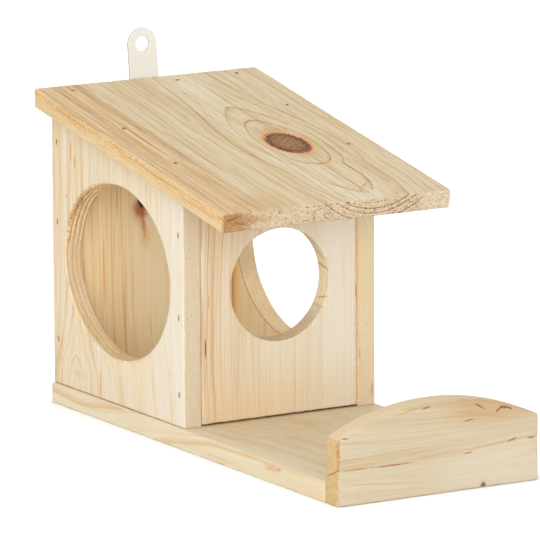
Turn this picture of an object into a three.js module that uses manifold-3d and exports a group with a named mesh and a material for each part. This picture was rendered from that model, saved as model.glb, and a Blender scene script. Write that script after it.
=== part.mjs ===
import * as THREE from 'three';
import { mergeVertices } from 'three/addons/utils/BufferGeometryUtils.js';
import Module from 'manifold-3d';

// Squirrel feeder box of nailed softwood boards. A house with one sloping roof
// stands on the back of a long base board, and the front of that board is a
// tray, closed by an arched end board. A steel strip on the back hangs it up.
// Lengths are in millimetres, +Z is up and the tray points along -Y.

// House walls, with heights measured from the top of the base board
const houseWidth = 110;
const houseDepth = 132;
const wallThickness = 10;
const sideFrontHeight = 117;
const sideBackHeight = 142;
const crossPanelSideGap = 0.3;
const frontPanelFloorGap = 1;

// Round entrance in the front panel and an oval window in each side panel
const entranceRadius = 28.2;
const entranceCentreHeight = 66.5;
const windowHalfDepth = 52.5;
const windowHalfHeight = 44;
const windowCentreHeight = 67.5;
const roundFacets = 48;

// Base board and the end board of the tray
const baseThickness = 10.5;
const baseSideLip = 1.25;
const baseBackLip = 0.5;
const trayLength = 135;
const endThickness = 12;
const endShoulderHeight = 32.5;
const endArchRise = 13;
const endEase = 0.8;
const archFacets = 32;
const easeSteps = 2;

// Roof board
const roofThickness = 9.5;
const roofSideOverhang = 9.5;
const roofFrontOverhang = 54;
const roofSeatGap = 0.3;

// Hanging strip, measured from its upper screw, and the screws
const stripWidth = 16.6;
const stripThickness = 1;
const stripTopRise = 46.2;
const stripOffset = 0.5;
const stripLean = THREE.MathUtils.degToRad(3.5);
const eyeRadius = 3.8;
const upperScrewDrop = 10.5;
const screwSpacing = 22;
const screwShankRadius = 1.5;
const screwLength = 8.5;
const screwPointLength = 2.5;
const screwHeadRadius = 3.2;
const screwHeadHeight = 1.8;
const screwClearance = 0.3;
const stripFacets = 24;
const domeSteps = 4;

// Brads: flat wire nails with a T-shaped head, sunk below the wood
const bradLength = 20;
const bradWireWidth = 1.2;
const bradWireThickness = 1;
const bradHeadWidth = 2.4;
const bradHeadHeight = 0.8;
const bradPointLength = 1.5;
const bradSink = 0.5;
const bradClearance = 0.3;
const cutOverrun = 2;

// Where the brads are driven, as shares of the board edge that they follow
const frontEdgeBradShares = [0.139, 0.468, 0.819];
const backEdgeBradShares = [0.165, 0.589, 0.877];
const leftRoofBradShares = [0.117, 0.506];
const rightRoofBradShares = [0.125, 0.575, 0.953];
const backRoofBradShares = [-0.423, 0.13];
const sideBaseBradShares = [0.22, 0.76];
const backBaseBradShares = [-0.23, 0.23];

// Sizes that follow from the ones above
const roofPitch = (sideBackHeight - sideFrontHeight) / houseDepth;
const roofAngle = Math.atan(roofPitch);
const roofPlumbThickness = roofThickness / Math.cos(roofAngle);
const roofWidth = houseWidth + 2 * roofSideOverhang;
const baseWidth = houseWidth + 2 * baseSideLip;
const crossPanelWidth = houseWidth - 2 * (wallThickness + crossPanelSideGap);
const wallMiddle = wallThickness / 2;
const sideMiddleX = houseWidth / 2 - wallMiddle;
const backMiddleY = houseDepth - wallMiddle;
const frontReach = trayLength + endThickness;
const backReach = houseDepth + stripThickness + screwHeadHeight;

const sideWood = new THREE.MeshStandardMaterial({ color: 0xeedfc6, roughness: 0.8, metalness: 0 });
const panelWood = new THREE.MeshStandardMaterial({ color: 0xe4cfa9, roughness: 0.8, metalness: 0 });
const roofWood = new THREE.MeshStandardMaterial({ color: 0xdccaa6, roughness: 0.75, metalness: 0 });
const baseWood = new THREE.MeshStandardMaterial({ color: 0xe8d6b4, roughness: 0.8, metalness: 0 });
const endWood = new THREE.MeshStandardMaterial({ color: 0xe0ceae, roughness: 0.75, metalness: 0 });
const zincSteel = new THREE.MeshStandardMaterial({ color: 0xe9e7dc, roughness: 0.5, metalness: 0.7 });
const bradSteel = new THREE.MeshStandardMaterial({ color: 0x8d8679, roughness: 0.5, metalness: 0.8 });

const wasm = await Module();
wasm.setup();

function toSolid(geometry) {
  const plain = geometry.clone();
  plain.deleteAttribute('normal');
  plain.deleteAttribute('uv');
  const merged = mergeVertices(plain);
  return new wasm.Manifold(new wasm.Mesh({
    numProp: 3,
    vertProperties: Float32Array.from(merged.attributes.position.array),
    triVerts: Uint32Array.from(merged.index.array),
  }));
}

function toGeometry(solid) {
  const { vertProperties, triVerts } = solid.getMesh();
  const geometry = new THREE.BufferGeometry();
  geometry.setAttribute('position', new THREE.BufferAttribute(vertProperties, 3));
  geometry.setIndex(new THREE.BufferAttribute(triVerts, 1));
  geometry.computeVertexNormals();
  return geometry;
}

function namedMesh(name, geometry, material) {
  const mesh = new THREE.Mesh(geometry, material);
  mesh.name = name;
  return mesh;
}

// Cuts one shape out of a board wherever the shape's carriers stand in the model
function cutAway(board, shape, carriers) {
  const toBoard = board.matrixWorld.clone().invert();
  let solid = toSolid(board.geometry);
  for (const carrier of carriers) {
    const tool = shape.clone();
    tool.applyMatrix4(carrier.matrixWorld);
    tool.applyMatrix4(toBoard);
    solid = solid.subtract(toSolid(tool));
  }
  board.geometry = toGeometry(solid);
}

function outlineOf(points) {
  return new THREE.Shape(points.map(([u, v]) => new THREE.Vector2(u, v)));
}

// Points of a closed ring for a hole, without its first point said twice
function ring(u, v, uRadius, vRadius, facets) {
  const curve = new THREE.EllipseCurve(u, v, uRadius, vRadius);
  return new THREE.Path(curve.getPoints(facets).slice(1));
}

// Extrudes an outline drawn in Y and Z along X, with its middle at zero
function acrossModel(outline, width) {
  const geometry = new THREE.ExtrudeGeometry(outline, { depth: width, bevelEnabled: false });
  geometry.translate(0, 0, -width / 2);
  const axes = [new THREE.Vector3(0, 1, 0), new THREE.Vector3(0, 0, 1), new THREE.Vector3(1, 0, 0)];
  geometry.applyMatrix4(new THREE.Matrix4().makeBasis(...axes));
  return geometry;
}

// Extrudes an outline drawn in X and Z forwards, from a back face at a given Y
function upright(outline, depth, backY) {
  const geometry = new THREE.ExtrudeGeometry(outline, { depth, bevelEnabled: false });
  geometry.rotateX(Math.PI / 2);
  geometry.translate(0, backY, 0);
  return geometry;
}

// Height of the walls' top edge at a distance behind the front of the house
function wallTop(y) {
  return sideFrontHeight + roofPitch * y;
}

function roofUnderside(y) {
  return wallTop(y) + roofSeatGap;
}

function roofTop(y) {
  return roofUnderside(y) + roofPlumbThickness;
}

// Side panel: slopes with the roof and is pierced by its window
function sidePanel(name, side) {
  const outline = outlineOf([
    [0, 0],
    [houseDepth, 0],
    [houseDepth, sideBackHeight],
    [0, sideFrontHeight],
  ]);
  const middle = houseDepth / 2;
  const window = ring(middle, windowCentreHeight, windowHalfDepth, windowHalfHeight, roundFacets);
  outline.holes.push(window);
  const panel = namedMesh(name, acrossModel(outline, wallThickness), sideWood);
  panel.position.x = side * sideMiddleX;
  return panel;
}

// Front or back panel: fits between the side panels, its top cut to the roof's slope
function crossPanel(name, frontY, floorGap) {
  const backY = frontY + wallThickness;
  const outline = outlineOf([
    [frontY, floorGap],
    [backY, floorGap],
    [backY, wallTop(backY)],
    [frontY, wallTop(frontY)],
  ]);
  return namedMesh(name, acrossModel(outline, crossPanelWidth), panelWood);
}

function entranceBore() {
  const length = wallThickness + 2 * cutOverrun;
  const bore = new THREE.CylinderGeometry(entranceRadius, entranceRadius, length, roundFacets);
  return bore.translate(0, wallMiddle, entranceCentreHeight);
}

// Roof board: square at the front, cut plumb at the back, flush with the house
function roofBoard() {
  const frontY = -roofFrontOverhang;
  const outline = outlineOf([
    [frontY, roofUnderside(frontY)],
    [houseDepth, roofUnderside(houseDepth)],
    [houseDepth, roofTop(houseDepth)],
    [
      frontY - roofThickness * Math.sin(roofAngle),
      roofUnderside(frontY) + roofThickness * Math.cos(roofAngle),
    ],
  ]);
  return namedMesh('roof_board', acrossModel(outline, roofWidth), roofWood);
}

// Base board: runs from just behind the house to the tray's end board
function baseBoard() {
  const backY = houseDepth + baseBackLip;
  const outline = outlineOf([
    [-trayLength, 0],
    [backY, 0],
    [backY, baseThickness],
    [-trayLength, baseThickness],
  ]);
  return namedMesh('base_board', acrossModel(outline, baseWidth), baseWood);
}

// End board of the tray: covers the base board's end, with a top that is one arc
function trayEndBoard() {
  const halfWidth = baseWidth / 2;
  const radius = (halfWidth ** 2 + endArchRise ** 2) / (2 * endArchRise);
  const centre = endShoulderHeight + endArchRise - radius;
  const swing = Math.asin(halfWidth / radius);
  const start = Math.PI / 2 - swing;
  const arch = new THREE.EllipseCurve(0, centre, radius, radius, start, start + 2 * swing);
  const foot = [new THREE.Vector2(-halfWidth, 0), new THREE.Vector2(halfWidth, 0)];
  const outline = new THREE.Shape([...foot, ...arch.getPoints(archFacets)]);
  const geometry = new THREE.ExtrudeGeometry(outline, {
    depth: endThickness - 2 * endEase,
    bevelThickness: endEase,
    bevelSize: endEase,
    bevelOffset: -endEase,
    bevelSegments: easeSteps,
  });
  geometry.rotateX(Math.PI / 2);
  geometry.translate(0, -trayLength - endEase, 0);
  return namedMesh('tray_end_board', geometry, endWood);
}

// Hanging strip: round at both ends, with an eye at the top and two screw holes
function hangerStrip() {
  const endRadius = stripWidth / 2;
  const eyeHeight = stripTopRise - endRadius;
  const outline = new THREE.Shape();
  outline.absarc(0, eyeHeight, endRadius, 0, Math.PI);
  outline.absarc(0, -screwSpacing, endRadius, Math.PI, 2 * Math.PI);
  outline.closePath();
  const holeRadius = screwShankRadius + screwClearance;
  outline.holes.push(ring(0, eyeHeight, eyeRadius, eyeRadius, stripFacets));
  outline.holes.push(ring(0, 0, holeRadius, holeRadius, stripFacets));
  outline.holes.push(ring(0, -screwSpacing, holeRadius, holeRadius, stripFacets));
  return namedMesh('hanger_strip', upright(outline, stripThickness, stripThickness), zincSteel);
}

// Round-headed screw, its head on the strip and its point in the back panel
function hangerScrew(name, height) {
  const profile = [
    new THREE.Vector2(0, -screwLength),
    new THREE.Vector2(screwShankRadius, screwPointLength - screwLength),
    new THREE.Vector2(screwShankRadius, 0),
  ];
  for (let step = 0; step < domeSteps; step += 1) {
    const angle = (Math.PI / 2) * (step / domeSteps);
    const reach = screwHeadRadius * Math.cos(angle);
    profile.push(new THREE.Vector2(reach, screwHeadHeight * Math.sin(angle)));
  }
  profile.push(new THREE.Vector2(0, screwHeadHeight));
  const screw = namedMesh(name, new THREE.LatheGeometry(profile, stripFacets), zincSteel);
  screw.position.set(0, stripThickness, height);
  return screw;
}

function screwBore() {
  const radius = screwShankRadius + screwClearance;
  const depth = screwLength + screwClearance;
  const bore = new THREE.CylinderGeometry(radius, radius, depth, stripFacets);
  return bore.translate(0, -depth / 2, 0);
}

// Shape of a brad driven downwards at zero, or of its slot when grown by a margin
function bradShape(margin, headTop) {
  const wireReach = bradWireWidth / 2 + margin;
  const headReach = bradHeadWidth / 2 + margin;
  const headBase = -bradSink - bradHeadHeight - margin;
  const tip = -bradSink - bradLength - margin;
  const shoulder = tip + bradPointLength;
  const outline = outlineOf([
    [0, tip],
    [wireReach, shoulder],
    [wireReach, headBase],
    [headReach, headBase],
    [headReach, headTop],
    [-headReach, headTop],
    [-headReach, headBase],
    [-wireReach, headBase],
    [-wireReach, shoulder],
  ]);
  const thickness = bradWireThickness + 2 * margin;
  return upright(outline, thickness, thickness / 2);
}

function brad(name, place, turn) {
  const mesh = namedMesh(name, bradShape(0, -bradSink), bradSteel);
  mesh.position.set(...place);
  mesh.rotation.set(...turn);
  return mesh;
}

// Row of brads from a side panel into the edge of the front or back panel
function sideBrads(name, side, y, shares, height) {
  const place = (share) => [side * houseWidth / 2, y, share * height];
  const turn = [0, side * Math.PI / 2, 0];
  return shares.map((share, index) => brad(`${name}_${index + 1}`, place(share), turn));
}

// Row of brads from the roof board into the top edge of a side panel
function roofSideBrads(name, side, shares) {
  return shares.map((share, index) => {
    const y = share * houseDepth;
    const place = [side * sideMiddleX, y, roofTop(y)];
    return brad(`${name}_${index + 1}`, place, [roofAngle, 0, Math.PI / 2]);
  });
}

// Row of brads from the roof board into the top edge at the back of the house,
// started forward of the middle of that edge, as they lean back with the slope
function roofBackBrads(name, shares) {
  const y = backMiddleY - (roofThickness + bradLength) / 2 * Math.sin(roofAngle);
  const place = (share) => [share * houseWidth, y, roofTop(y)];
  const turn = [roofAngle, 0, 0];
  return shares.map((share, index) => brad(`${name}_${index + 1}`, place(share), turn));
}

// Rows of brads up through the base board, from its underside
function baseSideBrads(name, side, shares) {
  const place = (share) => [side * sideMiddleX, share * houseDepth, 0];
  const turn = [Math.PI, 0, Math.PI / 2];
  return shares.map((share, index) => brad(`${name}_${index + 1}`, place(share), turn));
}

function baseBackBrads(name, shares) {
  const place = (share) => [share * houseWidth, backMiddleY, 0];
  const turn = [Math.PI, 0, 0];
  return shares.map((share, index) => brad(`${name}_${index + 1}`, place(share), turn));
}

// Boards: the origin is below the middle of the whole feeder, on its underside
const group = new THREE.Group();
group.position.y = (frontReach - backReach) / 2;
const house = new THREE.Group();
house.position.z = baseThickness;

const base = baseBoard();
const left = sidePanel('left_side_panel', -1);
const right = sidePanel('right_side_panel', 1);
const front = crossPanel('front_panel', 0, frontPanelFloorGap);
const back = crossPanel('back_panel', houseDepth - wallThickness, 0);
const roof = roofBoard();
house.add(left, right, front, back, roof);
group.add(base, trayEndBoard(), house);

// Hanging strip and its screws, fixed by hand with a slight lean to the left
const hanger = new THREE.Group();
const upperScrew = hangerScrew('upper_hanger_screw', 0);
const lowerScrew = hangerScrew('lower_hanger_screw', -screwSpacing);
hanger.position.set(stripOffset, houseDepth, sideBackHeight - upperScrewDrop);
hanger.rotation.y = -stripLean;
hanger.add(hangerStrip(), upperScrew, lowerScrew);
house.add(hanger);

// Brads
const leftFrontRow = sideBrads('left_front_brad', -1, wallMiddle, frontEdgeBradShares, sideFrontHeight);
const leftBackRow = sideBrads('left_back_brad', -1, backMiddleY, backEdgeBradShares, sideBackHeight);
const rightFrontRow = sideBrads('right_front_brad', 1, wallMiddle, frontEdgeBradShares, sideFrontHeight);
const rightBackRow = sideBrads('right_back_brad', 1, backMiddleY, backEdgeBradShares, sideBackHeight);
const roofLeftRow = roofSideBrads('roof_left_brad', -1, leftRoofBradShares);
const roofRightRow = roofSideBrads('roof_right_brad', 1, rightRoofBradShares);
const roofBackRow = roofBackBrads('roof_back_brad', backRoofBradShares);
const baseLeftRow = baseSideBrads('base_left_brad', -1, sideBaseBradShares);
const baseRightRow = baseSideBrads('base_right_brad', 1, sideBaseBradShares);
const baseBackRow = baseBackBrads('base_back_brad', backBaseBradShares);
const roofBrads = [...roofLeftRow, ...roofRightRow, ...roofBackRow];
const baseBrads = [...baseLeftRow, ...baseRightRow, ...baseBackRow];
house.add(...leftFrontRow, ...leftBackRow, ...rightFrontRow, ...rightBackRow, ...roofBrads);
group.add(...baseBrads);
group.updateMatrixWorld(true);

// Entrance, screw bores and the slots that the brads leave in each board
const slot = bradShape(bradClearance, cutOverrun);
cutAway(front, entranceBore(), [house]);
cutAway(back, screwBore(), [upperScrew, lowerScrew]);
cutAway(left, slot, [...leftFrontRow, ...leftBackRow, ...roofLeftRow, ...roofBackRow, ...baseLeftRow]);
cutAway(right, slot, [...rightFrontRow, ...rightBackRow, ...roofRightRow, ...baseRightRow]);
cutAway(front, slot, [...leftFrontRow, ...rightFrontRow]);
cutAway(back, slot, [...leftBackRow, ...rightBackRow, ...roofBackRow, ...baseBackRow]);
cutAway(roof, slot, roofBrads);
cutAway(base, slot, baseBrads);

export default group;
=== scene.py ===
import math
from dataclasses import dataclass, field

import bmesh
import bpy
import numpy as np
from mathutils import Matrix, Vector
from mathutils.geometry import delaunay_2d_cdt


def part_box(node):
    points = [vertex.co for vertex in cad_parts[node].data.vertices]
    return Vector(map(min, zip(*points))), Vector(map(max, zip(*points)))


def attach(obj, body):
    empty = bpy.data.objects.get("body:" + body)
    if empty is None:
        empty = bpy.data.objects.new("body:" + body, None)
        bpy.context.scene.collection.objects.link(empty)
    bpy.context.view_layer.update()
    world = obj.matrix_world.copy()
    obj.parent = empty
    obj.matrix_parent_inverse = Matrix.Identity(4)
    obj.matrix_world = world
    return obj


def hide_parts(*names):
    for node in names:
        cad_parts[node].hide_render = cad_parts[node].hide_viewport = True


# Squirrel feeder box of nailed fir boards: the look of each board, the hanging
# strip and its screws, built round the frame. Lengths are in millimetres, and
# MM turns them into metres.
MM = 0.001

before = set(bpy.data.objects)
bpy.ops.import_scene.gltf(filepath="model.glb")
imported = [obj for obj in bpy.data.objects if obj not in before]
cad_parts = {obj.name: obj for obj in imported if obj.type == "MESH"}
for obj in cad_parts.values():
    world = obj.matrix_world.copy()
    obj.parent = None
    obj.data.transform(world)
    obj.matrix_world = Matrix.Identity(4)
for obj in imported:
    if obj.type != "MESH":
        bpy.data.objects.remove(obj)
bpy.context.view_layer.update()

# Camera, fitted to the photograph's outline
FRAME_PIXELS = 540
FOCAL_PIXELS = 6309.2
CAMERA_AZIMUTH = math.radians(-30.749)
CAMERA_ELEVATION = math.radians(10.989)
CAMERA_ROLL = math.radians(-0.296)
CAMERA_DISTANCE = 3105.6
CAMERA_RIGHT = -4.87
CAMERA_UP = -15.29
AIM_HEIGHT = 100

# Sizes that the boxes of the frame don't give
SIDE_FRONT_HEIGHT = 117
ROOF_THICKNESS = 9.5
END_ARCH_RISE = 13
FLOOR_GAP = 1
WINDOW_HALF_DEPTH = 52.5
WINDOW_HALF_HEIGHT = 44
WINDOW_HEIGHT = 67.5
ENTRANCE_RADIUS = 28.2
ENTRANCE_HEIGHT = 66.5
STRIP_WIDTH = 16.6
EYE_RADIUS = 3.8
SCREW_SPACING = 22
STRIP_LEAN = math.radians(3.5)
STRIP_EASE = 0.18
SCREW_HOLE_RADIUS = 1.8
SCREW_HEAD_RADIUS = 3.2
SHANK_RADIUS = 1.4
POINT_LENGTH = 2.5

# Roundings of edges, and the spacing of points on rings, faces and screws. A
# screw's round head goes from a first to a last angle in a number of rings.
ARRIS = 0.55
INNER_ARRIS = 0.4
END_ARRIS = 1.1
CORNER = 0.5
END_CORNER = 0.9
EDGE_STEP = 0.8
WALL_STEP = 0.5
GRID_STEP = 3.2
HOLE_STEP = 0.6
WINDOW_STEP = 0.42
METAL_HOLE_STEP = 0.35
POCKET_STEP = 0.4
STRIP_STEP = 1.5
STRIP_ROUND_STEPS = 28
SCREW_STEPS = 48
HEAD_TURNS = (8, 90, 12)
SCREW_MERGE = 0.001
GRID_SEED = 7
JITTER = 0.25
BORDER_MARGIN = 0.7
BATCH = 64
MERGE_DISTANCE = 1e-7

# Relief of the boards: the size of its lumps and their depth. Each row of saw
# ridges is a share, a length, a height and a seed.
GRAIN_STRETCH = 14
LONG_LUMP = 0.75
LONG_ROUGHNESS = 0.03
END_LUMP = 0.8
END_ROUGHNESS = 0.11
WEAR_LUMP = 7
ARRIS_WEAR = 0.22
CHIP_LUMP = 1.3
CHIP_LEVEL = 0.35
CHIP_DEPTH = 0.9
SAW_DEPTH = 0.14
SAW_RIDGES = ((1.0, 16, 0.9, 17), (0.5, 1.1, 0.8, 19))

# Directions in the part's own coordinates
RIGHT = (1, 0, 0)
BACK = (0, 1, 0)
UP = (0, 0, 1)


def box_mm(node):
    """Lowest and highest corner of a frame node in millimetres."""
    low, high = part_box(node)
    return np.array(low) / MM, np.array(high) / MM


side_low, side_high = box_mm("left_side_panel")
right_high = box_mm("right_side_panel")[1]
front_low, front_high = box_mm("front_panel")
back_low, back_high = box_mm("back_panel")
roof_low, roof_high = box_mm("roof_board")
base_low, base_high = box_mm("base_board")
end_low, end_high = box_mm("tray_end_board")

HOUSE_FRONT = side_low[1]
HOUSE_DEPTH = side_high[1] - side_low[1]
BASE_TOP = base_high[2]
WALL = side_high[0] - side_low[0]
PITCH = (side_high[2] - side_low[2] - SIDE_FRONT_HEIGHT) / HOUSE_DEPTH
ROOF_ANGLE = math.atan(PITCH)
ROOF_BACK = np.array([0, math.cos(ROOF_ANGLE), math.sin(ROOF_ANGLE)])
ROOF_DOWN = np.array([0, math.sin(ROOF_ANGLE), -math.cos(ROOF_ANGLE)])
ROOF_LENGTH = (roof_high[1] - roof_low[1]) / math.cos(ROOF_ANGLE)
roof_top_back = np.array([0, roof_high[1], roof_high[2]])
roof_top_front = np.array([0, HOUSE_FRONT, roof_high[2] - PITCH * HOUSE_DEPTH])
house_corner = np.array([0, HOUSE_FRONT, BASE_TOP])
END_WIDTH = end_high[0] - end_low[0]
END_THICKNESS = end_high[1] - end_low[1]

# Large odd numbers that scatter the cells of the noise
CELL_STEPS = np.array([73856093, 19349663, 83492791])
SEED_STEP = 2654435761
SCATTER = 1274126177


def noise(points, seed=0):
    """Smooth noise from -1 to 1 for each row of points, on a lattice of step one."""
    base = np.floor(points).astype(np.int64)
    part = points - base
    ease = part * part * (3 - 2 * part)
    total = np.zeros(len(points))
    for corner in np.ndindex(2, 2, 2):
        cell = base + np.array(corner)
        weight = np.prod(np.where(corner, ease, 1 - ease), axis=1)
        mixed = (cell @ CELL_STEPS + seed * SEED_STEP) & 0x7FFFFFFF
        mixed = ((mixed ^ (mixed >> 13)) * SCATTER) & 0x7FFFFFFF
        mixed = mixed ^ (mixed >> 16)
        total += weight * ((mixed & 0xFFFF) / 32767.5 - 1)
    return total


# Outlines. Each gives its ring of points at an inset from its edge into the wood.
FILLET_STEPS = 3
LEAST_RADIUS = 0.02


def unit(vector):
    """The vector at length one."""
    return vector / np.linalg.norm(vector)


def turned_left(vector):
    """The vector after a quarter turn anticlockwise."""
    return np.array([-vector[1], vector[0]])


class Outline:
    """A board's edge through corners given anticlockwise, rounded where it is sharp."""

    def __init__(self, corners, sharp=None, radius=CORNER, step=EDGE_STEP):
        self.corners = np.array(corners, float)
        self.sharp = [True] * len(corners) if sharp is None else sharp
        self.radius = radius
        ahead = np.roll(self.corners, -1, axis=0) - self.corners
        lengths = np.linalg.norm(ahead, axis=1)
        self.counts = [max(1, round(length / step)) for length in lengths]
        self.inward = [turned_left(unit(edge)) for edge in ahead]

    def moved(self, inset):
        """The corners of the outline, moved inwards by an inset."""
        before = np.roll(np.array(self.inward), 1, axis=0)
        here = np.array(self.inward)
        share = 1 + np.sum(before * here, axis=1, keepdims=True)
        return self.corners + inset * (before + here) / share

    def fillet(self, corners, index, radius):
        """Points on the arc that rounds one corner."""
        here = corners[index]
        back = unit(corners[index - 1] - here)
        ahead = unit(corners[(index + 1) % len(corners)] - here)
        half = math.acos(np.clip(back @ ahead, -1, 1)) / 2
        reach = radius / math.tan(half)
        centre = here + unit(back + ahead) * radius / math.sin(half)
        start = here + back * reach - centre
        end = here + ahead * reach - centre
        turns = np.linspace(0, 1, FILLET_STEPS + 1)
        swing = math.pi - 2 * half
        shares = [(math.sin((1 - t) * swing), math.sin(t * swing)) for t in turns]
        return [centre + (start * first + end * second) / math.sin(swing) for first, second in shares]

    def ring(self, inset):
        """The same number of points at every inset, so that rings can be joined."""
        corners = self.moved(inset)
        radius = max(self.radius - inset, LEAST_RADIUS)
        stops = [
            self.fillet(corners, index, radius) if self.sharp[index] else [corner]
            for index, corner in enumerate(corners)
        ]
        points = []
        for index, stop in enumerate(stops):
            points += stop
            goal = stops[(index + 1) % len(stops)][0]
            count = self.counts[index]
            points += [stop[-1] + (goal - stop[-1]) * k / count for k in range(1, count)]
        return np.array(points)


class Hole:
    """A round or oval hole; an inset grows it outwards, into the wood."""

    def __init__(self, centre, half_u, half_v, step=HOLE_STEP):
        self.centre = np.array(centre, float)
        self.halves = np.array([half_u, half_v], float)
        self.count = round(math.pi * (half_u + half_v) / step)
        angle = np.arange(self.count) * 2 * math.pi / self.count
        self.round = np.stack([np.cos(angle), np.sin(angle)], axis=1)

    def ring(self, inset):
        outward = self.round / self.halves
        outward /= np.linalg.norm(outward, axis=1, keepdims=True)
        return self.centre + self.round * self.halves + outward * inset


class Pocket(Outline):
    """The slot that a brad's head leaves; an inset grows it outwards, into the wood."""

    def __init__(self, centre, half_u, half_v):
        u, v = centre
        corners = [(u - half_u, v - half_v), (u - half_u, v + half_v), (u + half_u, v + half_v),
                   (u + half_u, v - half_v)]
        super().__init__(corners, radius=LEAST_RADIUS, step=POCKET_STEP)


class Solid:
    """A closed surface in the making: points as across, along and depth, and faces.

    Cut holds how far round its ring each sawn point lies, its depth and the strength
    of its saw marks.
    """

    def __init__(self):
        self.points = np.zeros((0, 3))
        self.wear = np.zeros(0)
        self.cut = np.zeros((0, 3))
        self.faces = []

    def add(self, flat, depth, wear=0.0, cut=None):
        """Adds points, with their wear and saw marks, and returns their numbers."""
        start = len(self.points)
        count = len(flat)
        depths = np.broadcast_to(depth, (count,))
        self.points = np.vstack([self.points, np.column_stack([flat, depths])])
        self.wear = np.append(self.wear, np.broadcast_to(wear, (count,)))
        self.cut = np.vstack([self.cut, np.zeros((count, 3)) if cut is None else cut])
        return np.arange(start, start + count)

    def bridge(self, first, second):
        """Joins two rings of the same number of points by a band of faces."""
        for k in range(len(first)):
            after = (k + 1) % len(first)
            self.faces.append((first[k], first[after], second[after], second[k]))

    def rings(self, outline, profile, saw=0.0):
        """Adds a ring for each inset, depth and wear, and joins them in order."""
        made = []
        for inset, depth, wear in profile:
            flat = outline.ring(inset)
            steps = np.linalg.norm(flat - np.roll(flat, 1, axis=0), axis=1)
            sawn = saw if inset == 0 else 0.0
            marks = np.column_stack([np.cumsum(steps), np.full(len(flat), depth), np.full(len(flat), sawn)])
            made.append(self.add(flat, depth, wear, marks))
        for first, second in zip(made, made[1:]):
            self.bridge(first, second)
        return made[0], made[-1]

    def fill(self, loops, grid, depth):
        """Fills the face inside the first loop, round the others, through a grid."""
        borders = [self.points[loop][:, :2] for loop in loops]
        middle = self.add(grid[on_face(grid, borders) & clear_of(grid, borders)], depth)
        members = np.concatenate([*loops, middle])
        place = {int(m): k for k, m in enumerate(members)}
        edges = [(place[int(a)], place[int(b)]) for loop in loops for a, b in zip(loop, np.roll(loop, -1))]
        flat = self.points[members][:, :2]
        found = delaunay_2d_cdt([Vector(p) for p in flat], edges, [], 0, MERGE_DISTANCE)
        triangles = np.array(found[2])
        corners = np.array([members[found[3][k][0]] for k in range(len(found[0]))])
        middles = np.array(found[0])[triangles].mean(axis=1)
        self.faces += [tuple(corners[t]) for t in triangles[on_face(middles, borders)]]


def within(points, border):
    """Whether each point lies inside a closed border."""
    inside = np.zeros(len(points), bool)
    x, y = points[:, 0], points[:, 1]
    for (x1, y1), (x2, y2) in zip(border, np.roll(border, -1, axis=0)):
        if y1 != y2:
            crosses = (y1 > y) != (y2 > y)
            inside ^= crosses & (x < (x2 - x1) * (y - y1) / (y2 - y1) + x1)
    return inside


def on_face(points, borders):
    """Whether each point lies inside the first border and outside the others."""
    inside = within(points, borders[0])
    for border in borders[1:]:
        inside &= ~within(points, border)
    return inside


def clear_of(points, borders):
    """Whether each point keeps its distance from every border."""
    clear = np.ones(len(points), bool)
    for border in borders:
        for start in range(0, len(border), BATCH):
            gaps = points[:, None, :] - border[None, start:start + BATCH, :]
            clear &= (gaps ** 2).sum(axis=2).min(axis=1) > BORDER_MARGIN ** 2
    return clear


def scattered(random, low, high, step):
    """Points on an uneven grid between two corners."""
    u, v = np.meshgrid(np.arange(low[0], high[0], step), np.arange(low[1], high[1], step))
    spots = np.column_stack([u.ravel(), v.ravel()])
    return spots + random.uniform(-JITTER, JITTER, spots.shape) * step


def face_grid(low, high, fine=()):
    """Uneven grid points over a face, closer together within each fine oval."""
    random = np.random.default_rng(GRID_SEED)
    grid = scattered(random, low, high, GRID_STEP)
    for centre, reach, close in fine:
        grid = grid[np.linalg.norm((grid - centre) / reach, axis=1) > 1]
        spots = scattered(random, -reach, reach, close)
        spots = spots[np.linalg.norm(spots / reach, axis=1) < 1]
        grid = np.vstack([grid, spots + centre])
    return grid


def through_profile(thickness, ease=ARRIS):
    """Rings over an edge from one face to the other: inset, depth and wear."""
    turns = [math.radians(a) for a in (0, 22.5, 45, 67.5, 90)]
    arris = [(ease * (1 - math.sin(t)), ease * (1 - math.cos(t)), math.sin(2 * t) * 0.6 + 0.4)
             for t in turns]
    near = [(ease + 2.2, 0, 0), (ease + 1.2, 0, 0.04), (ease + 0.5, 0, 0.15)] + arris + [(0, ease + 0.5, 0.2)]
    far = [(inset, thickness - depth, wear) for inset, depth, wear in reversed(near)]
    start, end = near[-1][1], far[0][1]
    count = max(2, round((end - start) / WALL_STEP))
    wall = [(0, start + (end - start) * k / count, 0.03) for k in range(1, count)]
    return near + wall + far


POCKET_DEPTH = 1.5
POCKET_PROFILE = [(0.7, 0, 0), (0.3, 0, 0.1), (0.08, 0.05, 0.2), (0, 0.25, 0.1), (0, 0.8, 0),
                  (0, POCKET_DEPTH, 0)]


@dataclass
class Board:
    """One plank: its outline, holes and slots, how it lies and how it was sawn."""

    node: str
    slot: str
    outline: Outline
    place: object
    thickness: float
    grain: tuple
    holes: list = field(default_factory=list)
    pockets: list = field(default_factory=list)
    pocket_face: float = 0.0
    fine: list = field(default_factory=list)
    ease: float = ARRIS
    wear: object = None
    dents: object = None
    fibres: object = None


def pocket_rings(solid, pockets, face):
    """Sinks each brad slot into the near face, at depth 0, or into the far one."""
    loops = []
    inward = 1 if face == 0 else -1
    for pocket in pockets:
        profile = [(inset, face + inward * depth, wear) for inset, depth, wear in POCKET_PROFILE]
        top, floor = solid.rings(pocket, profile)
        solid.faces.append(tuple(floor))
        loops.append(top)
    return loops


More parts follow.
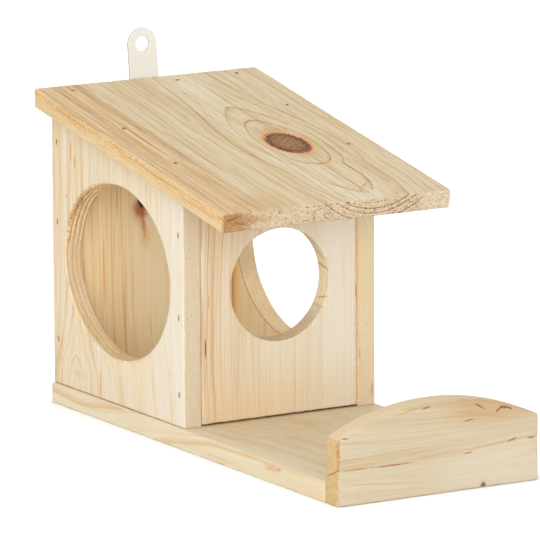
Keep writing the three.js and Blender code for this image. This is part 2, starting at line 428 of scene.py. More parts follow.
def slab(outline, holes, profile, thickness, saw=0.0, pockets=(), pocket_face=0.0, fine=()):
    """A flat slab: its edge, its holes and slots, and its two faces."""
    solid = Solid()
    loops = [solid.rings(outline, profile)] + [solid.rings(hole, profile, saw) for hole in holes]
    slots = pocket_rings(solid, pockets, pocket_face)
    grid = face_grid(outline.corners.min(axis=0), outline.corners.max(axis=0), fine)
    for side, depth in enumerate((0, thickness)):
        sunk = slots if pocket_face == depth else []
        solid.fill([*[loop[side] for loop in loops], *sunk], grid, depth)
    return solid


def relief(points, normals, board, solid):
    """How far each point of a board stands out along its normal."""
    grain = np.array(board.grain)
    along = np.abs(normals @ grain)
    stretched = points - np.outer(points @ grain, grain) * (1 - 1 / GRAIN_STRETCH)
    rough = noise(stretched / LONG_LUMP, 3) * (1 - along) * LONG_ROUGHNESS
    rough += noise(points / END_LUMP, 5) * along * END_ROUGHNESS
    slow = noise(points / WEAR_LUMP, 11) * 0.5 + 0.5
    chips = np.clip(noise(points / CHIP_LUMP, 13) - CHIP_LEVEL, 0, 1) * CHIP_DEPTH
    scale = np.ones(len(points)) if board.wear is None else board.wear(points)
    worn = solid.wear * (ARRIS_WEAR * slow + chips) * scale
    length, depth, saw = solid.cut.T
    flat = np.zeros(len(points))
    ridges = sum(share * noise(np.column_stack([length / long, depth / high, flat]), seed)
                 for share, long, high, seed in SAW_RIDGES)
    dents = 0 if board.dents is None else board.dents(points, normals)
    return rough - worn + ridges * saw * SAW_DEPTH + dents


def linked_object(name, data):
    """A new object of the scene that holds the given data."""
    made = bpy.data.objects.new(name, data)
    bpy.context.scene.collection.objects.link(made)
    return made


def worked_object(name, work):
    """A new object of the scene from an edited mesh, which is freed."""
    mesh = bpy.data.meshes.new(name)
    work.to_mesh(mesh)
    work.free()
    return linked_object(name, mesh)


def mesh_object(name, points, faces):
    """A smooth closed mesh object, from points in millimetres."""
    mesh = bpy.data.meshes.new(name)
    mesh.from_pydata([tuple(p) for p in points * MM], [], faces)
    work = bmesh.new()
    work.from_mesh(mesh)
    bmesh.ops.recalc_face_normals(work, faces=work.faces)
    work.to_mesh(mesh)
    work.free()
    mesh.shade_smooth()
    return linked_object(name, mesh)


def dress(piece, node, material):
    """Gives a piece its material, hides the part it replaces and hangs it on the root body."""
    piece.data.materials.append(material)
    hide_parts(node)
    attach(piece, "root")


def vertex_normals(mesh):
    """The normal of each vertex as a row."""
    normals = np.zeros(len(mesh.vertices) * 3, np.float32)
    mesh.vertex_normals.foreach_get("vector", normals)
    return normals.reshape(-1, 3).astype(float)


def build_board(board, material):
    """Makes a board's mesh, weathers it and puts it in the place of its node."""
    profile = through_profile(board.thickness, board.ease)
    solid = slab(board.outline, board.holes, profile, board.thickness, 1.0, board.pockets, board.pocket_face,
                 board.fine)
    places = board.place(solid.points)
    piece = mesh_object(board.node + "_wood", places, solid.faces)
    normals = vertex_normals(piece.data)
    places += normals * relief(places, normals, board, solid)[:, None]
    piece.data.vertices.foreach_set("co", (places * MM).astype(np.float32).ravel())
    if board.fibres is not None:
        add_fibres(piece.data, board.fibres())
    piece.data.update()
    dress(piece, board.node, material)


FIBRE_TURNS = (0, 2.1, 4.2)


def add_fibres(mesh, fibres):
    """Adds torn fibres: thin closed spikes, each from a root to a bent tip."""
    work = bmesh.new()
    work.from_mesh(mesh)
    for root, middle, tip, thick in fibres:
        along = unit(tip - root)
        side = unit(np.cross(along, np.array([0.3, 0.5, 0.81])))
        other = np.cross(along, side)
        loops = []
        for centre, share in ((root, 1.0), (middle, 0.7)):
            spots = [centre + thick * share * (side * math.cos(turn) + other * math.sin(turn))
                     for turn in FIBRE_TURNS]
            loops.append([work.verts.new(spot * MM) for spot in spots])
        point = work.verts.new(tip * MM)
        work.faces.new(list(reversed(loops[0])))
        for k in range(3):
            after = (k + 1) % 3
            work.faces.new((loops[0][k], loops[0][after], loops[1][after], loops[1][k])).smooth = True
            work.faces.new((loops[1][k], loops[1][after], point)).smooth = True
    work.to_mesh(mesh)
    work.free()


# Places: each turns across, along and depth into the part's own coordinates
def side_place(outer_x, inward):
    """Depth counts inwards from the side panel's outer face."""
    def place(p):
        return np.column_stack([outer_x + inward * p[:, 2], HOUSE_FRONT + p[:, 0], BASE_TOP + p[:, 1]])
    return place


def inner_place(front, height):
    """Depth lifts the panel's top, so that it follows the roof's slope."""
    def place(p):
        lift = PITCH * p[:, 2] * p[:, 1] / height
        return np.column_stack([p[:, 0], front + p[:, 2], BASE_TOP + p[:, 1] + lift])
    return place


def roof_place(p):
    """Depth leans near the back, so that the back is plumb and the front is square."""
    share = 1 - p[:, 1] / ROOF_LENGTH
    along = p[:, 1] + share * p[:, 2] * PITCH
    on_top = roof_top_back + np.outer(p[:, 0], RIGHT) - np.outer(along, ROOF_BACK)
    return on_top + np.outer(p[:, 2], ROOF_DOWN)


def base_place(p):
    """Depth counts downwards from the top of the base board."""
    return np.column_stack([p[:, 0], p[:, 1], BASE_TOP - p[:, 2]])


def end_place(p):
    """Depth counts backwards from the end board's front face."""
    return np.column_stack([p[:, 0], end_low[1] + p[:, 2], p[:, 1]])


# Brad slots, found from the brads of the frame
SLOT_CLEARANCE = 0.04


def brad_heads(prefixes, across, along, origin):
    """Middle and half size of each brad's head, for the brads whose names start so."""
    heads = []
    for name in sorted(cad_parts):
        if not name.startswith(prefixes):
            continue
        spots = np.array([v.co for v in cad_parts[name].data.vertices]) / MM - origin
        flat = np.column_stack([spots @ np.array(across), spots @ np.array(along)])
        low, high = flat.min(axis=0), flat.max(axis=0)
        heads.append(((low + high) / 2, (high - low) / 2))
    return heads


def brad_pockets(*where):
    """One slot for each brad, sized to its head."""
    return [Pocket(middle, *(half + SLOT_CLEARANCE)) for middle, half in brad_heads(*where)]


# Outlines of the boards
def rectangle(low_u, low_v, high_u, high_v):
    """The outline of a square-cut board between two corners."""
    return Outline([(low_u, low_v), (high_u, low_v), (high_u, high_v), (low_u, high_v)])


def side_outline():
    """The outline of a side panel, whose top rises towards the back."""
    back_height = side_high[2] - side_low[2]
    return Outline([(0, 0), (HOUSE_DEPTH, 0), (HOUSE_DEPTH, back_height), (0, SIDE_FRONT_HEIGHT)])


ARCH_RADIUS = (END_WIDTH ** 2 / 4 + END_ARCH_RISE ** 2) / (2 * END_ARCH_RISE)
ARCH_STEPS = 110


class ArchedOutline(Outline):
    """The end board: two square feet and two shoulders under one arc."""

    def __init__(self):
        sharp = [True, True, True] + [False] * (ARCH_STEPS - 1) + [True]
        super().__init__(self.moved(0), sharp, radius=END_CORNER)

    def moved(self, inset):
        half = END_WIDTH / 2 - inset
        radius = ARCH_RADIUS - inset
        swing = math.asin(half / radius)
        middle = end_high[2] - ARCH_RADIUS
        turns = np.linspace(swing, -swing, ARCH_STEPS + 1)
        arch = [(radius * math.sin(t), middle + radius * math.cos(t)) for t in turns]
        return np.array([(-half, inset), (half, inset), *arch])


def window_hole():
    """The large oval window of a side panel."""
    return Hole((HOUSE_DEPTH / 2, WINDOW_HEIGHT), WINDOW_HALF_DEPTH, WINDOW_HALF_HEIGHT, WINDOW_STEP)


# Torn wood where the saw met the grain at the windows' upper back, and less of it
# at the foot. Angles are in degrees round the window, from the back upwards. The
# layers on a window's wall are waves in its depth, each a period, a share and a
# phase. They shift round the rim by waves of a count, a swing and a phase.
TEAR_ANGLE = 42
TEAR_SPREAD = 26
TEAR_WEAR = 2.4
FOOT_ANGLE = -100
FOOT_SPREAD = 32
FOOT_SHARE = 0.35
LAYER_WAVES = ((2.6, 0.5, 0.4), (1.35, 0.34, 1.9), (0.7, 0.22, 0.7))
RIM_WAVES = ((2, 0.5, 0.9), (5, 0.4, 2.6), (9, 0.28, 1.9), (19, 0.1, 0.2))
LAYER_DEPTH = 0.38
LEAST_TEAR = 0.14
JAG_REACH = 0.8
JAG_DEPTH = 1.5
FIBRE_COUNT = 200
FIBRE_DEPTH = 1.9
FIBRE_LENGTHS = (0.9, 2.6)
FIBRE_HALVES = (0.12, 0.34)
FIBRE_BEND = 0.15
RIM_GAP = 0.3
DEEPEST_OUTWARD = 1.6
MOST_PROUD = 0.9
SPLINTER_COUNT = 16
SPLINTER_SPREAD = 9
SPLINTER_HALVES = (0.3, 0.55)


def window_turn(points):
    """Each point's angle in degrees round the window, and its reach, 1 at the rim."""
    across = (points[:, 1] - HOUSE_FRONT - HOUSE_DEPTH / 2) / WINDOW_HALF_DEPTH
    rise = (points[:, 2] - BASE_TOP - WINDOW_HEIGHT) / WINDOW_HALF_HEIGHT
    return np.degrees(np.arctan2(rise, across)), np.hypot(across, rise)


def torn_share(points):
    """How torn the window's wall and rim are at each point, from 0 to about 1."""
    turn, reach = window_turn(points)
    torn = np.exp(-((turn - TEAR_ANGLE) / TEAR_SPREAD) ** 2)
    torn += FOOT_SHARE * np.exp(-((turn - FOOT_ANGLE) / FOOT_SPREAD) ** 2)
    return torn * (reach < 1.03)


def side_wear(outer_x):
    """More wear on a side panel's outer face where its window is torn."""
    def wear(points):
        outer = np.clip(1 - np.abs(points[:, 0] - outer_x) / (WALL / 2), 0, 1)
        return 1 + TEAR_WEAR * torn_share(points) * outer
    return wear


def layer_height(depth, turn):
    """Height of the torn layers on a window's wall, from -1 to 1."""
    shift = depth + sum(swing * np.sin(count * turn + phase) for count, swing, phase in RIM_WAVES)
    return sum(share * np.sin(2 * math.pi / period * shift + phase) for period, share, phase in LAYER_WAVES)


def window_dents(outer_x, inward, strength):
    """Torn layers on a window's wall and its jagged outer rim."""
    def dents(points, normals):
        depth = (points[:, 0] - outer_x) * inward
        turn, reach = window_turn(points)
        torn = torn_share(points)
        layers = layer_height(depth, np.radians(turn)) * (reach < 1.015) * (LEAST_TEAR + torn)
        layers *= LAYER_DEPTH
        rim = np.exp(-(depth / JAG_REACH) ** 2) * torn
        jags = (noise(points / 1.1, 43) + noise(points / 0.5, 47) * 0.7 - 0.5) * rim * JAG_DEPTH
        return (layers + jags) * strength
    return dents


def on_rim(turn, gap=0.0):
    """The point at an angle round a window, a gap outside it, in the plane x = 0."""
    y = HOUSE_FRONT + HOUSE_DEPTH / 2 + (WINDOW_HALF_DEPTH + gap) * math.cos(turn)
    z = BASE_TOP + WINDOW_HEIGHT + (WINDOW_HALF_HEIGHT + gap) * math.sin(turn)
    return np.array([0, y, z])


def torn_fibre(random, outer_x, inward):
    """A thin fibre from the rim or the wall: its root, middle, tip and half width."""
    turn = math.radians(random.normal(TEAR_ANGLE, TEAR_SPREAD * 0.62))
    depth = abs(random.normal(0, FIBRE_DEPTH)) + 0.15
    root = on_rim(turn, RIM_GAP) + np.array([outer_x + inward * depth, 0, 0])
    sideways = random.choice([-1, 1]) * random.uniform(0.2, 1.0)
    outwards = random.uniform(-0.6, 1.0) if depth < DEEPEST_OUTWARD else random.uniform(-0.8, -0.1)
    lean = np.array([
        -inward * random.uniform(0.1, 0.9),
        math.cos(turn) * outwards + sideways * math.sin(turn),
        math.sin(turn) * outwards - sideways * math.cos(turn),
    ])
    tip = root + unit(lean) * random.uniform(*FIBRE_LENGTHS)
    limit = outer_x - inward * MOST_PROUD
    tip[0] = max(tip[0], limit) if inward > 0 else min(tip[0], limit)
    middle = root + (tip - root) * 0.55 + random.uniform(-FIBRE_BEND, FIBRE_BEND, 3)
    return root, middle, tip, random.uniform(*FIBRE_HALVES)


def splinter(random, outer_x, inward):
    """A thicker splinter that stands out from the rim, in the same four parts."""
    turn = math.radians(random.normal(TEAR_ANGLE - 4, SPLINTER_SPREAD))
    away = np.array([0, math.cos(turn), math.sin(turn)])
    rim = on_rim(turn)
    lift = np.array([-inward, 0, 0])
    root = rim - away * 0.2 + np.array([outer_x + inward * random.uniform(0.1, 0.5), 0, 0])
    tip = rim + away * random.uniform(0.4, 1.9) + lift * random.uniform(0.2, 0.8) + np.array([outer_x, 0, 0])
    middle = (root + tip) / 2 + lift * 0.3
    return root, middle, tip, random.uniform(*SPLINTER_HALVES)


def window_fibres(outer_x, inward, seed):
    """Torn fibres and splinters round the rim and the wall of a window."""
    random = np.random.default_rng(seed)
    fibres = [torn_fibre(random, outer_x, inward) for _ in range(FIBRE_COUNT)]
    return fibres + [splinter(random, outer_x, inward) for _ in range(SPLINTER_COUNT)]


# The roof's large knot, in across and along from the front of the house, and the
# finer grid of points round it, which counts along from the roof's back edge
KNOT_CENTRE = (20.4, 26.2)
KNOT_REACH = (11.0, 16.1)
FINE_CENTRE = (KNOT_CENTRE[0], HOUSE_DEPTH / math.cos(ROOF_ANGLE) - KNOT_CENTRE[1])
FINE_REACH = np.array([14.0, 20.0])
FINE_STEP = 0.8
CRACK_DEPTH = 0.28
HEART_ROUGHNESS = 0.1
SWELL_HEIGHT = 0.12


def knot_dents(points, normals):
    """A crack round the knot and a rough face within it, on the roof's top."""
    spots = points - roof_top_front
    flat = np.column_stack([spots[:, 0], spots @ ROOF_BACK])
    reach = np.linalg.norm((flat - KNOT_CENTRE) / KNOT_REACH, axis=1)
    crack = -CRACK_DEPTH * np.exp(-((reach - 0.93) / 0.05) ** 2)
    rough = noise(points / 1.1, 31) * HEART_ROUGHNESS * (reach < 0.92)
    swell = SWELL_HEIGHT * np.exp(-((reach - 1.25) / 0.3) ** 2)
    return (crack + rough + swell) * (normals @ ROOF_DOWN < -0.7)


END_CHIP_DEPTH = 1.7
NOTCH_DEPTH = 2.7
NOTCH_PLACE = 25.2


def end_chips(points, normals):
    """Chips along the end board's left front arris and a notch in its foot."""
    left = np.exp(-((points[:, 0] - end_low[0]) / 1.4) ** 2)
    front = np.exp(-((points[:, 1] - end_low[1]) / 1.4) ** 2)
    chips = np.clip(noise(points / np.array([3, 3, 1.6]), 41) + 0.25, 0, 1)
    near_front = np.exp(-((points[:, 1] - end_low[1]) / 3) ** 2)
    notch = np.exp(-((points[:, 0] - NOTCH_PLACE) / 1.1) ** 2 - (points[:, 2] / 2) ** 2) * near_front
    return -(END_CHIP_DEPTH * chips * left * front + NOTCH_DEPTH * notch)


def side_panel(side, outer_x, inward, torn, seed):
    """The left or right side panel, with a window that is torn on its outer face."""
    return Board(
        side + "_side_panel", "side_panel_wood", side_outline(), side_place(outer_x, inward), WALL, UP,
        holes=[window_hole()],
        pockets=brad_pockets((side + "_front", side + "_back"), BACK, UP, house_corner),
        wear=side_wear(outer_x),
        dents=window_dents(outer_x, inward, torn),
        fibres=lambda: window_fibres(outer_x, inward, seed),
    )


boards = [
    side_panel("left", side_low[0], 1, 1.0, 5),
    side_panel("right", right_high[0], -1, 0.35, 6),
    Board(
        "front_panel", "inner_panel_wood",
        rectangle(front_low[0], FLOOR_GAP, front_high[0], SIDE_FRONT_HEIGHT),
        inner_place(HOUSE_FRONT, SIDE_FRONT_HEIGHT), WALL, UP,
        holes=[Hole((0, ENTRANCE_HEIGHT), ENTRANCE_RADIUS, ENTRANCE_RADIUS)],
        ease=INNER_ARRIS,
    ),
    Board(
        "back_panel", "inner_panel_wood",
        rectangle(back_low[0], 0, back_high[0], SIDE_FRONT_HEIGHT + PITCH * (HOUSE_DEPTH - WALL)),
        inner_place(back_low[1], back_high[2] - back_low[2]), WALL, UP,
        ease=INNER_ARRIS,
    ),
    Board(
        "roof_board", "roof_wood", rectangle(roof_low[0], 0, roof_high[0], ROOF_LENGTH), roof_place,
        ROOF_THICKNESS, tuple(ROOF_BACK),
        pockets=brad_pockets(("roof_left", "roof_right", "roof_back"), RIGHT, -ROOF_BACK, roof_top_back),
        fine=[(FINE_CENTRE, FINE_REACH, FINE_STEP)],
        dents=knot_dents,
    ),
    Board(
        "base_board", "base_wood", rectangle(*base_low[:2], *base_high[:2]), base_place, BASE_TOP, BACK,
        pockets=brad_pockets(("base_left", "base_right", "base_back"), RIGHT, BACK, np.zeros(3)),
        pocket_face=BASE_TOP,
    ),
    Board(
        "tray_end_board", "end_board_wood", ArchedOutline(), end_place, END_THICKNESS, RIGHT,
        ease=END_ARRIS,
        dents=end_chips,
    ),
]


def screen_colour(code):
    """A screen colour, written #rrggbb, as the linear values that a shader takes."""
    shares = [part / 255 for part in bytes.fromhex(code[1:])]
    return (*(s / 12.92 if s <= 0.04045 else ((s + 0.055) / 1.055) ** 2.4 for s in shares), 1.0)


# Shader nodes. A Signal is one socket, so that sums and products read as such.
# The Mix node names its sockets alike for each type, so colours go by index.
MIX_INPUTS = (0, 6, 7)
MIX_OUTPUT = 2


class Signal:
    """A number that varies over a surface."""

    def __init__(self, graph, socket):
        self.graph = graph
        self.socket = socket

    def __add__(self, other):
        return self.graph.math("ADD", self, other)

    def __sub__(self, other):
        return self.graph.math("SUBTRACT", self, other)

    def __mul__(self, other):
        return self.graph.math("MULTIPLY", self, other)

    def __pow__(self, other):
        return self.graph.math("POWER", self, other)


class Graph:
    """Short calls for the nodes of one material or world, which is its owner."""

    def __init__(self, owner):
        self.owner = owner
        owner.use_nodes = True
        self.tree = owner.node_tree
        self.tree.nodes.clear()

    def feed(self, socket, value):
        """Links a signal to a socket, or sets the socket to a plain value."""
        if isinstance(value, Signal):
            self.tree.links.new(value.socket, socket)
        else:
            socket.default_value = value

    def add(self, kind, inputs=None, output=0, **settings):
        """Adds a node with its settings and inputs, and returns one of its outputs."""
        made = self.tree.nodes.new(kind)
        for key, value in settings.items():
            setattr(made, key, value)
        for socket, value in (inputs or {}).items():
            self.feed(made.inputs[socket], value)
        return Signal(self, made.outputs[output])

    def math(self, operation, *values):
        return self.add("ShaderNodeMath", dict(enumerate(values)), operation=operation)

    def coordinate(self, kind):
        return self.add("ShaderNodeTexCoord", output=kind)

    def dot(self, vector, axis):
        inputs = {0: vector, 1: tuple(axis)}
        return self.add("ShaderNodeVectorMath", inputs, "Value", operation="DOT_PRODUCT")

    def measured(self, *axes):
        """How far each point lies along each of the axes, in millimetres."""
        return [self.dot(self.coordinate("Object"), np.array(axis) / MM) for axis in axes]

    def vector(self, x, y, z):
        return self.add("ShaderNodeCombineXYZ", {0: x, 1: y, 2: z})

    def noise(self, place, detail=2.0, roughness=0.5):
        """Noise from about -1 to 1, with one lump per unit of the place's three parts."""
        inputs = {"Vector": self.vector(*place), "Scale": 1.0, "Detail": detail, "Roughness": roughness}
        return (self.add("ShaderNodeTexNoise", inputs, "Fac") - 0.5) * 2.6

    def smooth(self, low, high, value):
        inputs = {"Value": value, "From Min": low, "From Max": high}
        return self.add("ShaderNodeMapRange", inputs, interpolation_type="SMOOTHSTEP")

    def facing(self, low, high, normal, axis):
        """How far a face looks along an axis, either way, eased between two values."""
        return self.smooth(low, high, self.math("ABSOLUTE", self.dot(normal, axis)))

    def curve(self, value, points):
        """A smooth curve through the given pairs of input and output."""
        low, high = np.min(points, axis=0), np.max(points, axis=0)
        span = np.where(high > low, high - low, 1.0)
        made = self.tree.nodes.new("ShaderNodeFloatCurve")
        line = made.mapping.curves[0]
        scaled = [tuple((np.array(p) - low) / span) for p in points]
        line.points[0].location = scaled[0]
        line.points[1].location = scaled[-1]
        for spot in scaled[1:-1]:
            line.points.new(*spot)
        for spot in line.points:
            spot.handle_type = "AUTO_CLAMPED"
        made.mapping.update()
        self.feed(made.inputs["Value"], (value - float(low[0])) * float(1 / span[0]))
        return Signal(self, made.outputs[0]) * float(span[1]) + float(low[1])

    def ramp(self, value, stops):
        """A colour ramp through the given pairs of place and colour."""
        made = self.tree.nodes.new("ShaderNodeValToRGB")
        colours = made.color_ramp
        while len(colours.elements) < len(stops):
            colours.elements.new(1.0)
        for element, (place, colour) in zip(colours.elements, stops):
            element.position = place
            element.color = screen_colour(colour)
        self.feed(made.inputs[0], value)
        return Signal(self, made.outputs[0])

    def mix(self, share, first, second, blend="MIX"):
        inputs = dict(zip(MIX_INPUTS, (share, first, second)))
        return self.add("ShaderNodeMix", inputs, MIX_OUTPUT, data_type="RGBA", blend_type=blend)

    def tint(self, share, colour, code):
        return self.mix(share, colour, screen_colour(code))

    def bump(self, height, strength, distance):
        return self.add("ShaderNodeBump", {"Strength": strength, "Distance": distance * MM, "Height": height})

    def end(self, kind, shader):
        """Sends a shader to the output and returns the material or world."""
        output = self.tree.nodes.new(kind)
        self.feed(output.inputs["Surface"], shader)
        return self.owner

    def finish(self, colour, roughness, normal, specular=0.3, metallic=0.0):
        """Ends the material in a Principled shader and returns it."""
        inputs = {"Base Color": colour, "Roughness": roughness, "Normal": normal,
                  "Specular IOR Level": specular, "Metallic": metallic}
        return self.end("ShaderNodeOutputMaterial", self.add("ShaderNodeBsdfPrincipled", inputs))


@dataclass
class Mark:
    """A knot, pocket, stain or notch, or a patch of painted light or shade: an oval in across, depth and
    along.
    """

    centre: tuple
    reach: tuple
    colour: str = None
    strength: float = 0.8
    turn: tuple = (0, 0, 0)
    soft: float = 0.5
    ragged: float = 0.25


@dataclass
class Wood:
    """How one board was sawn from its tree, and its colours, written #rrggbb.

    Lists of pairs are curves over across, but over along for pith_depth and bands,
    and over the distance from the tree's middle for rings and crisp.
    """

    name: str
    origin: tuple
    across: tuple
    depth: tuple
    grain: tuple
    pith_side: float
    pith_depth: list
    rings: list
    pale: str
    body: str
    line: str
    end_pale: str
    end_body: str
    end_line: str
    tones: list
    dark: str
    gold: str
    lines: list
    contrast: float
    streaks: float
    golden: float
    power: float = 2.0
    lean: float = 0.0
    drift: list = None
    wander: float = 1.2
    tremor: float = 0.22
    seed: float = 0.0
    edge: tuple = None
    edge_share: float = 0.0
    edge_contrast: float = 0.3
    edge_grain: float = 0.3
    edge_cracks: float = 0.15
    hair: float = 0.9
    stained: list = None
    pits: float = 0.4
    end_tones: list = None
    window: float = 0.0
    crisp: list = None
    even_reach: float = 0.0
    phase: float = 0.0
    end_rings: list = None
    notches: list = field(default_factory=list)
    bands: list = field(default_factory=list)
    marks: list = field(default_factory=list)
    knots: list = field(default_factory=list)
    nailed: tuple = ()
    rust: str = "#ac8648"


# A warm stain, how far rust spreads beyond a brad's head, and values of the rings:
# the width at which their shape doesn't change with the power, the step in chance
# from year to year, and the sharpness and strength of their lines. Knot stops are
# a knot's colours from its middle to its rim.
STAIN = (1.0, 0.9, 0.78, 1.0)
RUST_REACH = (0.2, 0.25)
PINCH = 22.0
GOLDEN_SHARE = 0.618034
CRISP = 6.0
END_RINGS = 0.3
KNOT_STOPS = [(0.0, "#966c44"), (0.5, "#885e3a"), (0.68, "#663e28"), (0.84, "#562e1e"),
              (0.94, "#ba6a36"), (1.0, "#dca062")]


def oval(g, spot, mark, lumps):
    """Distance from a mark's middle, 1 at its rim, with a ragged outline."""
    turns = [-math.radians(turn) for turn in mark.turn]
    inputs = {"Vector": spot, "Location": mark.centre, "Rotation": turns, "Scale": mark.reach}
    moved = g.add("ShaderNodeMapping", inputs, vector_type="TEXTURE")
    length = g.add("ShaderNodeVectorMath", {0: moved}, "Value", operation="LENGTH")
    return length + lumps * mark.ragged


def ragged_lumps(g, wood, place):
    """The lumps that make the outlines of marks and knots uneven."""
    across, depth, along = place
    return g.noise((across * 0.9 + wood.seed, depth * 0.9, along * 0.45), 3.0, 0.6)


def brad_stains(wood):
    """A rusty mark round each brad's head."""
    if not wood.nailed:
        return []
    stains = []
    for middle, half in brad_heads(wood.nailed, wood.across, wood.grain, np.array(wood.origin)):
        reach = half + RUST_REACH
        stains.append(Mark((middle[0], 0, middle[1]), (reach[0], 2, reach[1]), wood.rust, 0.85, ragged=0.3))
    return stains


def add_marks(g, wood, place, colour):
    """Paints each mark on the colour, and returns how deep the marks sink."""
    spot = g.vector(*place)
    lumps = ragged_lumps(g, wood, place)
    sunk = lumps * 0.0
    for mark in wood.marks + brad_stains(wood):
        distance = oval(g, spot, mark, lumps)
        share = g.smooth(1.0 + mark.soft, 1.0 - mark.soft, distance) * mark.strength
        colour = g.tint(share, colour, mark.colour)
        sunk = sunk + share
    return colour, sunk


def add_knots(g, wood, place, colour):
    """Paints each knot: rough heart wood, a dark rim and a warm halo."""
    across, depth, along = place
    spot = g.vector(*place)
    lumps = ragged_lumps(g, wood, place)
    for knot in wood.knots:
        distance = oval(g, spot, knot, lumps)
        worms = g.noise((across * 0.85, depth * 0.85, along * 0.6), 2.0, 0.6)
        crumbs = g.noise((across * 1.7, depth * 1.7, along * 1.2), 2.0, 0.6)
        heart = g.ramp(distance + worms * 0.09, KNOT_STOPS)
        grain = worms * 0.7 + crumbs
        grey = g.tint(g.smooth(0.0, 0.45, grain) * 0.9, heart, "#c2945c")
        grey = g.tint(g.smooth(-0.05, -0.45, grain) * 0.85, grey, "#502c18")
        inner = g.smooth(0.84, 0.66, distance + worms * 0.08)
        heart = g.mix(inner, heart, grey)
        halo = g.smooth(1.6, 0.95, distance + crumbs * 0.08) * 0.7 * knot.strength
        colour = g.tint(halo, colour, knot.colour)
        colour = g.mix(g.smooth(1.04, 0.98, distance), colour, heart)
    return colour


def ring_radius(g, wood, place):
    """Distance of each point from the tree's middle, and its part to the side."""
    across, depth, along = place
    wander = g.noise((across * 0.035 + wood.seed, depth * 0.035, along * 0.009), 2.0) * wood.wander
    tremor = g.noise((across * 0.4, depth * 0.4 + wood.seed, along * 0.022), 3.0) * wood.tremor
    side = across - wood.pith_side + wander
    if wood.lean:
        side = side - along * wood.lean
    if wood.drift:
        side = side + g.curve(across, wood.drift) * along
    height = depth + g.curve(along, wood.pith_depth)
    squared = g.math("ABSOLUTE", side) ** wood.power * PINCH ** (2 - wood.power)
    radius = (squared + height * height) ** 0.5 + tremor
    for notch in wood.notches:
        radius = radius + g.smooth(1.0, 0.2, oval(g, g.vector(*place), notch, tremor)) * notch.strength
    return radius, side


def ring_lines(g, wood, radius, along):
    """Darkness of the late wood, and a chance value for each year's ring."""
    uneven = g.noise((radius * 0.3 + wood.seed, 0.0, along * 0.002), 3.0, 0.6)
    uneven = uneven * g.smooth(wood.even_reach, wood.even_reach + 12, radius)
    count = g.curve(radius, wood.rings) + uneven * 1.1
    index = g.math("FLOOR", count)
    part = count - index
    chance = g.math("FRACT", index * GOLDEN_SHARE + wood.phase)
    crisp = g.curve(radius, wood.crisp) if wood.crisp else CRISP
    late = (part ** 2.0 * 0.16 + part ** crisp * 0.84) * g.smooth(1.0, 0.985, part)
    return late * (chance ** 1.4 * 0.8 + 0.3), chance


def add_edge(g, wood, normal, place, colour):
    """Tints the narrow edges, with sawn streaks."""
    across, depth, along = place
    streak = g.noise((across, depth * 1.6, along * wood.edge_grain), 4.0, 0.75)
    tint = g.ramp(streak * wood.edge_contrast + 0.42, list(zip((0.0, 0.42, 1.0), wood.edge)))
    cracks = g.smooth(0.16, 0.34, g.noise((across, depth * 1.3, along * 0.03), 3.0, 0.6))
    tint = g.tint(cracks * wood.edge_cracks, tint, wood.edge[2])
    specks = g.smooth(0.5, 0.62, g.noise((across * 0.8 + wood.seed, depth * 0.7, along * 0.45), 1.0))
    tint = g.tint(specks * 0.6, tint, wood.dark)
    edge_on = g.facing(0.75, 0.95, normal, wood.across)
    return g.mix(edge_on * wood.edge_share, colour, tint)


def add_bands(g, wood, normal, place, colour):
    """Draws tan bands along the narrow edges, sharp below and faded above."""
    across, depth, along = place
    edge_on = g.facing(0.75, 0.95, normal, wood.across)
    grain = g.noise((across * 0.6, depth * 1.4, along * 0.05), 4.0, 0.7)
    for band in wood.bands:
        above = g.curve(along, band) - depth + grain * 0.35
        share = g.smooth(-0.15, 0.45, above) * g.smooth(4.6, 0.6, above)
        colour = g.tint(share * edge_on * (grain * 0.4 + 0.75), colour, wood.gold)
    return colour


def end_grain(g, wood, place, rings, patches):
    """Colour and bumps of the sawn end grain: ring arcs and open pits."""
    across, depth, along = place
    pores = g.noise((across * 1.35, depth * 1.35, along * 1.35), 3.0, 0.75)
    fuzz = g.noise((across * 0.5, depth * 0.8, along), 3.0, 0.7)
    arcs = rings * (g.curve(across, wood.end_rings) if wood.end_rings else END_RINGS)
    pits = g.smooth(0.12, 0.5, pores + arcs * 0.6 + fuzz * 0.2) * wood.pits
    amount = arcs + pits + patches * 0.1 + fuzz * 0.22 + 0.22
    if wood.end_tones:
        amount = amount + g.curve(across, wood.end_tones)
    colour = g.ramp(amount, [(0.0, wood.end_pale), (0.45, wood.end_body), (1.0, wood.end_line)])
    return colour, pits * -1.6 + fuzz * 0.6


def window_layers(g, place, turn):
    """Height of the torn layers on a window's wall, in the waves of their relief."""
    across, depth, along = place
    shift = depth + g.noise((across * 0.5, depth * 0.9, along * 0.5), 3.0, 0.7) * 0.3
    for count, swing, phase in RIM_WAVES:
        shift = shift + g.math("SINE", turn * count + phase) * swing
    layers = depth * 0.0
    for period, share, phase in LAYER_WAVES:
        layers = layers + g.math("SINE", shift * (2 * math.pi / period) + phase) * share
    return layers


